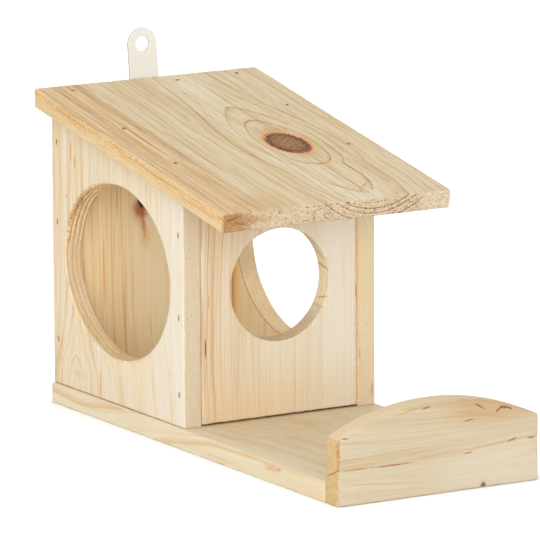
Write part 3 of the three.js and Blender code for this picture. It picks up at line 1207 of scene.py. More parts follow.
def add_window(g, place, colour, strength):
    """Torn layers and fibres in the window's wall, in line with their relief, with painted shade in the
    grooves and painted highlights on the crests.
    """
    across, depth, along = place
    side = (across - HOUSE_DEPTH / 2) * (1 / WINDOW_HALF_DEPTH)
    rise = (along - WINDOW_HEIGHT) * (1 / WINDOW_HALF_HEIGHT)
    reach = (side * side + rise * rise) ** 0.5
    turn = g.math("ARCTAN2", rise, side)
    layers = window_layers(g, place, turn)
    away = g.math("ABSOLUTE", turn - math.radians(TEAR_ANGLE))
    torn = g.smooth(math.radians(2.0 * TEAR_SPREAD), math.radians(0.4 * TEAR_SPREAD), away)
    on_wall = g.smooth(1.02, 1.004, reach)
    broken = g.noise((across * 0.8, depth * 1.2, along * 0.8), 3.0, 0.7)
    layers = layers + broken * 0.5
    # Painted shade in the grooves between the torn layers and painted highlights on their crests.
    painted_groove_shade = g.smooth(-0.15, -0.85, layers) * (torn * 0.6 + 0.35) * on_wall * strength
    painted_crest_highlight = g.smooth(0.25, 0.85, layers) * (torn * 0.7 + 0.2) * on_wall * strength
    colour = g.tint(on_wall * (torn * 0.4 + 0.3), colour, "#f0ca92")
    colour = g.tint(painted_crest_highlight, colour, "#ffeeca")
    colour = g.tint(painted_groove_shade, colour, "#ac682a")
    return add_rim(g, place, colour, reach, rise, torn, on_wall)


def add_rim(g, place, colour, reach, rise, torn, on_wall):
    """Browned wood at the window's torn rim, inner lip and foot, and on its fibres."""
    across, depth, along = place
    near_rim = g.smooth(1.06, 1.0, reach) * torn * g.smooth(2.0, 0.2, depth)
    specks = g.smooth(0.25, 0.7, g.noise((across * 2.2, depth * 2.2, along * 1.2), 3.0, 0.7))
    colour = g.tint(near_rim * (specks * 0.6 + 0.2), colour, "#c08044")
    colour = g.tint(on_wall * specks * 0.3, colour, "#c88e54")
    inner = g.smooth(WALL - 1.6, WALL - 0.3, depth) * on_wall
    lip = g.smooth(WALL - 0.7, WALL - 0.2, depth) * on_wall * 0.6
    colour = g.tint(lip, colour, "#c48646")
    foot = g.smooth(-0.5, -0.9, rise) * g.smooth(1.03, 1.0, reach) * g.smooth(1.6, 0.3, depth)
    colour = g.tint((inner + foot) * specks * 0.6, colour, "#aa703e")
    proud = g.math("MAXIMUM", g.smooth(-0.05, -0.2, depth), g.smooth(0.992, 0.985, reach))
    return g.tint(proud * (specks * 0.5 + 0.45), colour, "#dc9e5c")


def wood_place(g, wood):
    """Across, depth and along on a board, in millimetres from its wood's origin."""
    position = g.coordinate("Object")
    normal = g.coordinate("Normal")
    place = []
    for axis in (wood.across, wood.depth, wood.grain):
        shift = float(np.dot(wood.origin, axis))
        place.append(g.dot(position, np.array(axis) / MM) - shift)
    return tuple(place), normal


def grain_colour(g, wood, place, radius, side, rings, chance):
    """Colour of the long grain, and the fibres, patches and dark streaks in it."""
    across, depth, along = place
    fibre = g.noise((across * 1.5, depth * 1.5, along * 0.035), 4.0, 0.75)
    streak = g.noise((radius * 0.9 + wood.seed, side * 0.22, along * 0.013), 4.0, 0.68)
    sweep = g.noise((radius * 0.22 + wood.seed, side * 0.06, along * 0.008), 2.0)
    patches = g.noise((across * 0.11, depth * 0.11, along * 0.016 + wood.seed), 3.0)
    dashes = g.smooth(0.72, 0.95, g.noise((across * 1.5, depth * 1.5, along * 0.16), 2.0))
    tone = g.curve(across, wood.tones)
    texture = streak * 0.2 + fibre * 0.26 + sweep * 0.12
    lines = g.curve(across, wood.lines)
    amount = tone + rings * lines + texture * wood.contrast + patches * 0.08 + chance * 0.1 - 0.05
    colour = g.ramp(amount, [(0.0, wood.pale), (0.45, wood.body), (1.0, wood.line)])
    colour = g.tint(g.smooth(0.1, 1.1, sweep + streak * 0.5) * wood.golden, colour, wood.gold)
    thin = g.noise((radius * 1.3 + wood.seed, side * 0.4, along * 0.012), 3.0, 0.6)
    hair = g.noise((across * 2.3, depth * 1.5 + wood.seed, along * 0.012), 3.0, 0.7)
    dark = g.smooth(0.38, 0.75, thin + streak * 0.35) + dashes * 0.35
    dark = dark + g.smooth(0.14, 0.36, hair) * lines * wood.hair
    return g.tint(dark * wood.streaks, colour, wood.dark), fibre, patches, dark


def wood_material(wood):
    """Fir: growth rings round the tree's middle, fibres, marks and rough end grain."""
    g = Graph(bpy.data.materials.new(wood.name))
    place, normal = wood_place(g, wood)
    radius, side = ring_radius(g, wood, place)
    rings, chance = ring_lines(g, wood, radius, place[2])
    colour, fibre, patches, dark = grain_colour(g, wood, place, radius, side, rings, chance)
    if wood.stained:
        colour = g.mix(g.curve(place[0], wood.stained), colour, STAIN, "MULTIPLY")
    if wood.edge:
        colour = add_edge(g, wood, normal, place, colour)
    if wood.bands:
        colour = add_bands(g, wood, normal, place, colour)
    if wood.knots:
        colour = add_knots(g, wood, place, colour)
    end_colour, end_bumps = end_grain(g, wood, place, rings, patches)
    end_on = g.facing(0.5, 0.85, normal, wood.grain)
    colour = g.mix(end_on, colour, end_colour)
    colour, sunk = add_marks(g, wood, place, colour)
    if wood.window:
        colour = add_window(g, place, colour, wood.window)
    bumps = fibre * 0.4 + rings * 0.5 - dark * 0.4 - sunk * 1.2 + end_bumps * end_on
    return g.finish(colour, fibre * 0.04 + 0.62, g.bump(bumps, 0.45, 0.14), 0.25)


# The woods. Rings pairs are a radius from the tree's middle and a ring count.
left_wood = Wood(
    name="left_side_fir", nailed=("left_front", "left_back"),
    origin=(side_low[0], HOUSE_FRONT, BASE_TOP), across=BACK, depth=RIGHT, grain=UP,
    pith_side=108,
    pith_depth=[(0, 10), (12, 13), (27, 18.5), (60, 22), (145, 23)],
    rings=[(0, 0), (10, 2), (19, 7), (32, 12.5), (60, 23), (115, 42)],
    pale="#dcd5c6", body="#dbc8a7", line="#c5a475",
    end_pale="#ddcdb1", end_body="#ceb58d", end_line="#a47b4e",
    tones=[(0, 0.12), (14, 0.14), (26, 0.18), (45, 0.34), (75, 0.34), (95, 0.3), (110, 0.34), (118, 0.3),
           (124, 0.5), (132, 0.6)],
    dark="#b68656", gold="#d4b17d",
    lines=[(0, 0.2), (60, 0.3), (90, 0.65), (132, 0.5)],
    contrast=1.3, streaks=0.5, golden=0.5, power=1.35, seed=1.3, phase=0.3, window=1.0,
    edge=("#e4d6bc", "#ceba99", "#b2885c"), edge_share=0.75, edge_contrast=0.32, edge_grain=0.5,
    marks=[
        Mark((83.6, 0, 8.5), (0.45, 2, 4.8), "#c9843d", 0.9),
        Mark((112.2, 0, 121.5), (0.5, 2, 5.5), "#b07844"),
        Mark((108.4, 0, 117.0), (0.4, 2, 3.4), "#ac7242"),
        Mark((112.6, 0, 107.0), (0.35, 2, 5.0), "#ce965c", 0.6),
        Mark((84.5, 0, 120.0), (0.5, 2, 9.0), "#d8ac68", 0.6, soft=0.8),
        Mark((31.5, 0, 111.0), (0.5, 2, 5.0), "#d8ac68", 0.6, soft=0.8),
        Mark((25.5, 0, 109.0), (0.5, 2, 5.0), "#d8ac68", 0.5, soft=0.8),
        Mark((30.6, 0, 18.0), (0.4, 2, 9.0), "#d6a666", 0.6, soft=0.8),
        Mark((93.5, 0, 5.0), (0.5, 2, 4.5), "#d09454", 0.6, soft=0.8),
        Mark((104.5, 0, 8.6), (7.0, 2, 1.3), "#d6ac76", 0.4, soft=0.8, ragged=0.9),
        Mark((66.0, 0, 0.0), (80.0, 3, 0.7), "#ce9c64", 0.7),
        Mark((117.0, 0, 98.0), (0.4, 2, 0.8), "#a46e42", 0.7),
    ],
)
# Paler and warmer colours than the left panel's: painted light that stands for the warm light bouncing inside
# the box, where this panel's inner face and window wall are seen.
right_wood = Wood(
    name="right_side_fir", nailed=("right_front", "right_back"),
    origin=(right_high[0], HOUSE_FRONT, BASE_TOP), across=BACK, depth=(-1, 0, 0), grain=UP,
    pith_side=52,
    pith_depth=[(0, 24), (60, 27), (100, 31), (145, 40)],
    rings=[(0, 0), (24, 8), (36, 13), (60, 23), (100, 40)],
    pale="#fff4da", body="#fce6bc", line="#e2b67a",
    end_pale="#ffeecc", end_body="#fae0b2", end_line="#c89054",
    tones=[(0, 0.35), (40, 0.3), (70, 0.45), (100, 0.3), (132, 0.45)],
    dark="#be8854", gold="#e2b87a",
    lines=[(0, 0.25), (132, 0.3)],
    contrast=1.1, streaks=0.45, golden=0.6, seed=7.9, window=0.3, pits=0.7,
    end_rings=[(0, 0.06), (132, 0.08)],
    edge=("#eadcbf", "#d6c3a2", "#be9060"), edge_share=0.85, edge_contrast=0.32, edge_grain=0.6,
    marks=[
        Mark((0.2, 1.8, 8.0), (1.5, 0.4, 3.6), "#be824c", 0.75),
        Mark((0.2, 9.6, 55.0), (0.8, 0.4, 60.0), "#deac68", 0.5, soft=0.6, ragged=1.2),
        Mark((0.2, 8.9, 27.0), (0.8, 0.3, 2.4), "#c48442"),
        Mark((104, 0, 34.0), (0.5, 2, 5.0), "#c68c54", 0.7),
        # Painted warm shade on the inner face, in the corner by the back panel.
        Mark((121, 10, 58.0), (4.5, 2, 46.0), "#fac87c", 0.55, soft=0.7),
        Mark((121, 10, 58.0), (0.5, 2, 30.0), "#e2a054", 0.6, soft=0.7),
    ],
    knots=[Mark((24, 3, 116), (2.6, 9, 3.4), "#ce9660", 0.9, ragged=0.12)],
)
front_wood = Wood(
    name="front_fir",
    origin=(0, HOUSE_FRONT, BASE_TOP), across=RIGHT, depth=BACK, grain=UP,
    pith_side=-78,
    pith_depth=[(0, 34), (60, 36), (120, 35)],
    rings=[(0, 0), (48, 20), (80, 42), (100, 56), (130, 80)],
    pale="#e2dac8", body="#dbcaae", line="#c49e70",
    end_pale="#dccbae", end_body="#d0b993", end_line="#b18b5f",
    tones=[(-45, 0.54), (-30, 0.5), (-14, 0.34), (4, 0.22), (22, 0.22), (27, 0.0), (36, 0.0), (45, 0.4)],
    dark="#b48556", gold="#d7b37f",
    lines=[(-45, 0.55), (0, 0.5), (45, 0.35)],
    contrast=1.2, streaks=0.5, golden=0.3, seed=3.1, lean=0.02, hair=0.6,
    # Pale warm edge colours: painted light on the entrance's wall and the panel's edges, standing for the
    # light that bounces in.
    edge=("#fff2d4", "#f8e4be", "#e2b478"), edge_share=0.8,
    marks=[
        # Painted warm reflection of the tray along the foot of the panel.
        Mark((0, 0, 6.0), (46, 3, 14.0), "#e4be84", 0.32, soft=0.9, ragged=0.4),
        Mark((-42.7, 0, 38.8), (0.42, 2, 4.6), "#965431", 0.95, ragged=0.3),
        Mark((-40.7, 0, 62.0), (0.35, 2, 3.4), "#ba8b5d", 0.6),
        Mark((-44.4, 0, 50.0), (0.5, 2, 16.0), "#ba905d", 0.55, soft=0.8),
        Mark((44.0, 0, 58.5), (0.45, 2, 3.4), "#a36735", 0.9),
        Mark((44.3, 0, 56.0), (0.7, 2, 60.0), "#d1a263", 0.5, soft=0.6, ragged=1.2),
        Mark((27.4, 5, 72.5), (1.2, 6.5, 0.5), "#c68748", 0.85, turn=(-14, 0, 0)),
        Mark((27.0, 5, 56.7), (1.2, 6.5, 0.45), "#c98e50", turn=(13, 0, 0)),
        Mark((25.8, 5, 79.0), (2.4, 7, 0.9), "#d3a76e", 0.6, turn=(-26, 0, 0), soft=0.8),
        Mark((23.8, 5, 53.0), (2.2, 7, 0.8), "#d3a76e", 0.5, turn=(-6, 0, 0), soft=0.8),
    ],
)
# Paler and warmer colours than the outer boards': painted light that stands for the warm light bouncing
# inside the box.
back_wood = Wood(
    name="back_fir",
    origin=(0, back_low[1], BASE_TOP), across=RIGHT, depth=BACK, grain=UP,
    pith_side=24,
    pith_depth=[(0, 30), (80, 26), (140, 31)],
    rings=[(0, 0), (26, 9), (40, 16), (75, 34)],
    pale="#fff2d2", body="#ffe6b8", line="#ecb476",
    end_pale="#e8d2ae", end_body="#dabc90", end_line="#b68c5e",
    dark="#c4864c", gold="#e6b878",
    tones=[(-45, 0.5), (-30, 0.5), (-14, 0.34), (5, 0.2), (45, 0.3)],
    lines=[(-45, 0.35), (45, 0.4)],
    contrast=1.3, streaks=0.6, golden=0.45, seed=5.7,
    marks=[
        Mark((-20.0, 0, 120.0), (48.0, 3, 20.0), "#fac486", 0.45, soft=0.9, ragged=0.4),
        # Painted light: a pale wash over the shade that the front panel and the left wall cast on the panel's
        # middle.
        Mark((8.0, 0, 58.0), (17.0, 3, 42.0), "#ffe8ba", 0.4, soft=0.9, ragged=0.4),
        Mark((-9.6, 4, 86.0), (4.4, 14, 6.0), "#e49c62", 0.6, soft=0.8),
        Mark((-7.9, 3, 79.0), (1.3, 6, 5.5), "#c47636", turn=(0, 8, 0), soft=0.8, ragged=0.6),
        Mark((-6.8, 3, 72.0), (2.2, 6, 5.0), "#ecac68", 0.6, soft=0.9, ragged=0.8),
        Mark((-9.4, 4, 86.6), (3.6, 14, 4.4), "#b45e32", 0.85, turn=(0, 20, 0), soft=0.6, ragged=0.5),
        Mark((-9.6, 4, 89.4), (1.1, 14, 3.0), "#502212", 0.95, turn=(0, 32, 0), soft=0.4, ragged=0.5),
        Mark((-31.0, 0, 58.0), (0.5, 3, 17.0), "#e29c52", 0.7, soft=0.7),
        Mark((-23.0, 0, 93.0), (0.4, 3, 8.0), "#ce9260", 0.6, soft=0.7),
        Mark((-19.0, 0, 36.0), (0.9, 3, 18.0), "#e2ac70", 0.5, soft=0.9),
    ],
)
roof_wood = Wood(
    name="roof_fir", nailed=("roof_left", "roof_right", "roof_back"), rust="#68380c",
    origin=tuple(roof_top_front), across=RIGHT, depth=tuple(ROOF_DOWN), grain=tuple(ROOF_BACK),
    pith_side=20.6, lean=-0.02,
    pith_depth=[(-57, 31.0), (-47, 29.6), (-40, 28.6), (-30, 27.6), (-14, 27.1), (-8, 27.0), (-3, 25.8),
                (6, 24.2), (16, 23.2), (27, 22.6), (38, 23.4), (62, 26.8), (83, 29.8), (136, 33)],
    rings=[(0, 0), (20.8, 7), (23.8, 8), (26.8, 9), (29.8, 10), (33.4, 11), (38, 12.6), (50, 20), (92, 56)],
    pale="#ddd0b5", body="#d2be98", line="#a67a42",
    end_pale="#dbcdb4", end_body="#c4aa84", end_line="#6a4020",
    dark="#a47642", gold="#d4b478",
    tones=[(-64, 0.31), (-44, 0.27), (-38, 0.3), (-30, 0.33), (-20, 0.34), (-8, 0.38), (4, 0.2), (20, 0.24),
           (40, 0.34), (50, 0.32), (64, 0.42)],
    lines=[(-64, 1.3), (-41, 1.25), (-38, 0.75), (-12, 0.65), (-2, 0.85), (30, 0.85), (52, 0.65), (64, 0.5)],
    contrast=1.7, streaks=0.7, golden=0.55, wander=0.3, tremor=0.1, seed=2.42, hair=1.5, pits=0.95,
    stained=[(-64, 1.0), (-40.2, 1.0), (-39.4, 0.0), (64, 0.0)], even_reach=32, phase=0.02,
    end_rings=[(-64, 0.12), (-20, 0.25), (-2, 0.75), (40, 0.85), (50, 0.25), (64, 0.12)],
    crisp=[(0, 12), (28.4, 12), (29.2, 8), (30.4, 8), (31.4, 12), (34, 7), (36.5, 7), (38, 12), (92, 12)],
    notches=[Mark((24.0, 0, -43.0), (2.2, 90, 6), strength=0.7)],
    end_tones=[(-64, 0.44), (-54, 0.34), (-42, 0.06), (0, 0.02), (46, 0.0), (52, -0.08), (64, -0.1)],
    edge=("#e4cca0", "#d1b27c", "#b87c38"), edge_share=0.9, edge_contrast=0.9, edge_grain=0.7,
    edge_cracks=1.0,
    marks=[
        Mark((-43.6, 0, 40), (0.17, 1.2, 400), "#965e26", 0.5, ragged=0.5),
        Mark((-41.3, 0, 40), (0.16, 1.2, 400), "#965c22", 0.5, ragged=0.5),
        Mark((-39.9, 0, 40), (0.17, 1.2, 400), "#98622a", 0.5, ragged=0.5),
        Mark((-64.6, 8.2, 40), (0.9, 3.8, 400), "#d8c096", 0.55, soft=0.6),
        Mark((-6.6, 0, 40), (2.0, 1.2, 400), "#c4a46c", 0.3, soft=0.9),
        Mark((57.0, 0, 70), (0.9, 1.2, 60), "#b8945a", 0.5, soft=0.8),
        Mark((20.5, 0, 45), (6.5, 3, 6), "#ba8c52", 0.4, soft=0.9),
        Mark((21.0, 0, 8), (6.0, 3, 5), "#be925a", 0.35, soft=0.9),
        Mark((29.5, 0, 44.5), (0.45, 1.5, 1.3), "#96643c", 0.6),
        Mark((13.6, 0, -38.5), (0.6, 1.2, 10.0), "#ba8e4e", 0.65, turn=(0, 33, 0), soft=0.7),
        Mark((20.6, 0, -43.6), (0.5, 1.2, 3.8), "#b68a4a", 0.7, turn=(0, -18, 0), soft=0.7),
        Mark((25.6, 0, -38.4), (0.6, 1.2, 4.6), "#bc904e", 0.7, turn=(0, -48, 0), soft=0.7),
        Mark((32.2, 0, -28.0), (0.5, 1.2, 9.0), "#be9454", 0.6, turn=(0, -18, 0), soft=0.7),
        Mark((-33, 0, -46), (10, 1.2, 16), "#bc945c", 0.45, soft=0.9),
        Mark((-48.6, 0, -24), (0.3, 1.2, 34), "#96602a", 0.55, ragged=0.7),
        Mark((-61, 5, -57), (8, 10, 1.2), "#b47d42", 0.55, soft=0.8, ragged=0.7),
        Mark((-48, 4, -57), (9, 1.4, 1.2), "#ac7542", 0.5, soft=0.8, ragged=0.9),
        Mark((-59, 2.4, -57), (4.0, 0.5, 1.2), "#784824", 0.6, turn=(0, 0, 12), ragged=0.8),
        Mark((-55, 5.4, -57), (5.0, 0.5, 1.2), "#84522a", 0.6, turn=(0, 0, -16), ragged=0.8),
    ],
    knots=[Mark((KNOT_CENTRE[0], 4.5, KNOT_CENTRE[1]), (KNOT_REACH[0], 90, KNOT_REACH[1]), "#cca166", 0.7,
                ragged=0.2)],
)
base_wood = Wood(
    name="base_fir", nailed=("base_left", "base_right", "base_back"),
    origin=(0, 0, base_high[2]), across=RIGHT, depth=(0, 0, -1), grain=BACK,
    pith_side=10,
    pith_depth=[(-90, 78.6), (-57, 78), (-38, 77.4), (-19, 74.8), (12, 70), (50, 66.3), (72, 62.8), (98, 60),
                (123, 61.6), (140, 63)],
    rings=[(0, 0), (60, 4), (93.9, 9), (104.1, 11), (120, 14)],
    pale="#ded4bc", body="#d6c7a8", line="#c1a273",
    end_pale="#d7c4a0", end_body="#caae82", end_line="#a77e52",
    tones=[(-57, 0.3), (-40, 0.42), (0, 0.5), (57, 0.4)],
    dark="#b68c5b", gold="#cead7e",
    lines=[(-57, 0.35), (57, 0.3)],
    contrast=0.9, streaks=0.35, golden=0.45, wander=2.0, tremor=0.5, seed=4.4,
    bands=[
        [(50, -4), (56, -1), (62, 0.6), (84, 4), (110, 6.8), (135, 5.2), (146, 4.4)],
        [(-123, 1.0), (-78, 1.9), (-45, 2.5), (-26, 3.1), (-7, 5.7), (24, 10.4), (30, 12)],
    ],
    marks=[
        Mark((-56.3, 5.0, -108), (1.5, 9.0, 34.0), "#d0b890", 0.4, soft=0.9, ragged=0.4),
        Mark((-56.3, 3.0, -79), (1.5, 1.3, 6.0), "#c9956e", 0.6, soft=0.8, ragged=0.9),
        Mark((-56.3, 2.6, -86), (1.2, 0.6, 2.4), "#b47750", 0.65, soft=0.6, ragged=0.9),
        Mark((-56.3, 1.0, -54), (1.2, 0.5, 9.0), "#cea66e", 0.6, soft=0.8, ragged=0.6),
        Mark((-56.3, 7.6, -30), (1.2, 0.8, 16.0), "#cead7e", 0.5, soft=0.9, ragged=0.8),
    ],
)
end_wood = Wood(
    name="end_board_fir",
    origin=(0, end_low[1], 0), across=UP, depth=BACK, grain=RIGHT,
    pith_side=-48,
    pith_depth=[(-58, 20), (0, 22), (58, 19)],
    rings=[(0, 0), (50, 8), (75, 12), (100, 17)],
    drift=[(0, 0.036), (8, 0.05), (19, -0.047), (28, 0.0), (40, 0.09), (46, 0.1)],
    pale="#ccc2aa", body="#c4b497", line="#b29368",
    end_pale="#cfb688", end_body="#be9a63", end_line="#8c5425",
    tones=[(0, 0.24), (14, 0.3), (20, 0.45), (32, 0.44), (46, 0.6)],
    dark="#a97e50", gold="#c9ad82",
    lines=[(0, 0.24), (46, 0.3)],
    contrast=1.5, streaks=0.4, golden=0.4, wander=2.4, tremor=0.5, seed=6.6, pits=0.55,
    end_rings=[(0, 0.12), (46, 0.12)],
    edge=("#deceac", "#d5c29d", "#bc9662"), edge_share=0.85,
    marks=[
        Mark((40.0, 0, 34.0), (9.0, 2, 24.0), "#b8925c", 0.6, soft=0.9),
        Mark((9.0, 0, 38.0), (18.0, 2, 32.0), "#d2c7b2", 0.5, soft=0.9),
        Mark((17.5, 0, -46.0), (0.28, 2, 7.6), "#a07040", 0.7, ragged=0.8),
        Mark((17.2, 0, -26.0), (0.4, 2, 10.0), "#9c6a38", 0.85, ragged=0.8),
        Mark((19.0, 0, -4.0), (0.5, 2, 14.0), "#c09c6e", 0.6, turn=(0, -5, 0), soft=0.8),
        Mark((21.0, 0, 34.0), (0.5, 2, 22.0), "#ba9363", 0.6, turn=(0, -4, 0), soft=0.8),
        Mark((9.0, 0, -34.0), (0.4, 2, 20.0), "#c0a075", 0.6, turn=(0, 5, 0), soft=0.8),
        Mark((36.0, 0, 24.0), (0.6, 2, 16.0), "#bc9766", 0.6, turn=(0, 12, 0), soft=0.8),
        Mark((42.8, 0, -7.2), (0.45, 2, 2.2), "#925a26", 0.85, turn=(0, -8, 0), ragged=0.7),
        Mark((42.4, 0, -16.0), (0.3, 2, 9.0), "#ba925c", 0.7, turn=(0, -12, 0), soft=0.8),
        Mark((40.2, 0, 22.6), (0.4, 2, 3.0), "#8c501e", 0.85, turn=(0, 30, 0), soft=0.3, ragged=1.0),
        Mark((37.4, 0, 33.4), (0.45, 2, 1.8), "#8c501e", 0.85, turn=(0, -32, 0), soft=0.3, ragged=1.0),
        Mark((38.2, 0, 36.4), (0.7, 2, 2.4), "#864c1c", 0.85, soft=0.3, ragged=1.2),
        Mark((37.2, 0, 39.8), (0.6, 2, 1.8), "#8c501e", 0.85, turn=(0, 28, 0), soft=0.3, ragged=1.0),
        Mark((36.5, 0, 48.0), (0.6, 2, 1.3), "#925826", 0.85, ragged=0.6),
        Mark((34.0, 0, 16.5), (0.32, 2, 2.8), "#a06428", 0.9, turn=(0, -8, 0), ragged=0.6),
        Mark((18.2, 0, 16.3), (0.3, 2, 2.5), "#a06428", 0.9, turn=(0, -4, 0), ragged=0.6),
        Mark((21.8, 0, 41.3), (0.45, 2, 2.3), "#9c642a", 0.9, turn=(0, -16, 0), ragged=0.6),
        Mark((21.5, 0, 52.0), (0.4, 2, 1.9), "#9a622a", 0.9, ragged=0.6),
        Mark((33.0, 0, -52.5), (0.35, 2, 1.6), "#885630", 0.9),
        Mark((0.8, 0.5, 25.2), (2.0, 2.5, 1.2), "#775230"),
        Mark((26.0, 0.2, -56.3), (9.0, 1.6, 1.1), "#a66e3a", 0.7, soft=0.6, ragged=0.9),
        Mark((15.8, 5, -56.4), (0.35, 6.5, 0.8), "#824920", turn=(0, 0, -24), ragged=0.5),
    ],
)
woods = dict(zip([board.node for board in boards],
                 [left_wood, right_wood, front_wood, back_wood, roof_wood, base_wood, end_wood]))


def steel_material(name, light, dark, roughness, speckle, metallic=0.55, shine=0.4, rim=None):
    """Plain zinc or rusty steel with faint spangle and scratches."""
    g = Graph(bpy.data.materials.new(name))
    across, along, depth = g.measured(RIGHT, UP, BACK)
    spangle = g.noise((across * 0.5, depth * 0.5, along * 0.5), 4.0, 0.6)
    scratch = g.noise((across * 3.0, depth * 3.0, along * 0.25), 3.0, 0.6)
    amount = spangle * speckle + scratch * speckle * 0.6 + 0.45
    colour = g.ramp(amount, [(0.0, light), (1.0, dark)])
    if rim:
        flat_on = g.facing(0.35, 0.8, g.coordinate("Normal"), BACK)
        colour = g.mix(flat_on, screen_colour(rim), colour)
    bump = g.bump(spangle + scratch * 0.5, 0.25, 0.03)
    return g.finish(colour, spangle * 0.08 + roughness, bump, shine, metallic)


# The hanging strip, drawn about its upper screw, and its two screws
class Stadium(Outline):
    """The strip's outline: straight sides and round ends, its step even all round."""

    def __init__(self, half_width, low, high):
        turns = np.linspace(0, math.pi, STRIP_ROUND_STEPS + 1)
        top = [(half_width * math.cos(t), high + half_width * math.sin(t)) for t in turns]
        foot = [(-half_width * math.cos(t), low - half_width * math.sin(t)) for t in turns]
        corners = top + foot
        super().__init__(corners, sharp=[False] * len(corners), step=STRIP_STEP)


strip_low, strip_high = box_mm("hanger_strip")
screw_low, screw_high = box_mm("upper_hanger_screw")
STRIP_THICKNESS = strip_high[1] - strip_low[1]
STRIP_PIVOT = ((screw_low[0] + screw_high[0]) / 2, (screw_low[2] + screw_high[2]) / 2)
EYE_HEIGHT = (strip_high[2] - STRIP_WIDTH / 2 - STRIP_PIVOT[1]) / math.cos(STRIP_LEAN)


def hanger_place(p):
    """Depth counts forwards, from the strip's outer face to the one on the wood."""
    cos, sin = math.cos(STRIP_LEAN), math.sin(STRIP_LEAN)
    x = STRIP_PIVOT[0] + p[:, 0] * cos - p[:, 1] * sin
    z = STRIP_PIVOT[1] + p[:, 0] * sin + p[:, 1] * cos
    return np.column_stack([x, strip_high[1] - p[:, 2], z])


def build_strip(material):
    """The strip with sheared edges, its eye and two screw holes."""
    turns = [math.radians(a) for a in (0, 30, 60, 90)]
    near = [(STRIP_EASE * (1 - math.sin(t)), STRIP_EASE * (1 - math.cos(t)), 0) for t in turns]
    near.insert(0, (STRIP_EASE + 0.4, 0, 0))
    profile = near + [(inset, STRIP_THICKNESS - depth, 0) for inset, depth, _ in reversed(near)]
    outline = Stadium(STRIP_WIDTH / 2, -SCREW_SPACING, EYE_HEIGHT)
    places = ((EYE_HEIGHT, EYE_RADIUS), (0, SCREW_HOLE_RADIUS), (-SCREW_SPACING, SCREW_HOLE_RADIUS))
    holes = [Hole((0, height), radius, radius, METAL_HOLE_STEP) for height, radius in places]
    solid = slab(outline, holes, profile, STRIP_THICKNESS)
    piece = mesh_object("hanger_strip_steel", hanger_place(solid.points), solid.faces)
    dress(piece, "hanger_strip", material)


def build_screw(node, material):
    """A round head with a cross recess on a plain shank and point."""
    low, high = box_mm(node)
    centre = (low + high) / 2
    seat = strip_high[1]
    height = high[1] - seat
    work = bmesh.new()
    profile = [(0, low[1]), (SHANK_RADIUS, low[1] + POINT_LENGTH), (SHANK_RADIUS, seat)]
    profile.append((SCREW_HEAD_RADIUS, seat))
    turns = np.radians(np.linspace(*HEAD_TURNS))
    profile += [(SCREW_HEAD_RADIUS * math.cos(t), seat + height * math.sin(t)) for t in turns[:-1]]
    profile.append((0, seat + height))
    verts = [work.verts.new((centre[0] + r, y, centre[2])) for r, y in profile]
    edges = [work.edges.new(pair) for pair in zip(verts, verts[1:])]
    bmesh.ops.spin(work, geom=verts + edges, cent=tuple(centre), axis=BACK, angle=2 * math.pi,
                   steps=SCREW_STEPS)
    bmesh.ops.remove_doubles(work, verts=work.verts, dist=SCREW_MERGE)
    bmesh.ops.scale(work, vec=(MM, MM, MM), verts=work.verts)
    bmesh.ops.recalc_face_normals(work, faces=work.faces)
    piece = worked_object(node + "_head", work)
    piece.data.shade_smooth()
    cut_cross(piece, centre, seat + height)
    dress(piece, node, material)


# The slots of the cross: half length and half width, how far the cutter stands out
# of the head and reaches into it, and how much smaller its deep end is
CROSS_HALF = 1.7
SLOT_HALF = 0.42
CUTTER_TOP = 0.5
CUTTER_DEPTH = 1.1
CUTTER_TAPER = 0.35


def cross_cutter(centre, top, half_x, half_z):
    """A tapered block for one slot of a screw's head."""
    work = bmesh.new()
    bmesh.ops.create_cube(work, size=2.0)
    for vert in work.verts:
        share, lift = (1.0, CUTTER_TOP) if vert.co.y > 0 else (CUTTER_TAPER, -CUTTER_DEPTH)
        vert.co = Vector((centre[0] + vert.co.x * half_x * share, top + lift,
                          centre[2] + vert.co.z * half_z * share)) * MM
    return worked_object("slot_cutter", work)


def cut_cross(piece, centre, top):
    """Cuts two crossed slots into a screw's head, with slanted ends."""
    for halves in ((CROSS_HALF, SLOT_HALF), (SLOT_HALF, CROSS_HALF)):
        cutter = cross_cutter(centre, top, *halves)
        cut = piece.modifiers.new("slot", "BOOLEAN")
        cut.object = cutter
        cut.operation = "DIFFERENCE"
        cut.solver = "EXACT"
        bpy.context.view_layer.update()
        graph = bpy.context.evaluated_depsgraph_get()
        cut_mesh = bpy.data.meshes.new_from_object(piece.evaluated_get(graph))
        piece.modifiers.clear()
        piece.data = cut_mesh
        bpy.data.objects.remove(cutter)


# Light, floor and camera. Each lamp has a name, a direction from the part, a side
# in metres and a power in watts. The floor's own glow is weaker close to the part,
# which paints a soft contact shadow round it.
WORLD_LIGHT = 0.88
LAMPS = (("key", (-0.9, -0.3, 0.5), 1.1, 4.3), ("front_fill", (-0.45, -1.0, 0.16), 0.8, 6.0))
LAMP_DISTANCE = 1.2
FLOOR_HALF = 3.0
FLOOR_COLOUR = (0.92, 0.92, 0.93, 1)
FLOOR_GLOW = 0.36
PAINTED_SHADOW_GLOW = 0.06
PAINTED_SHADOW_REACH = 14


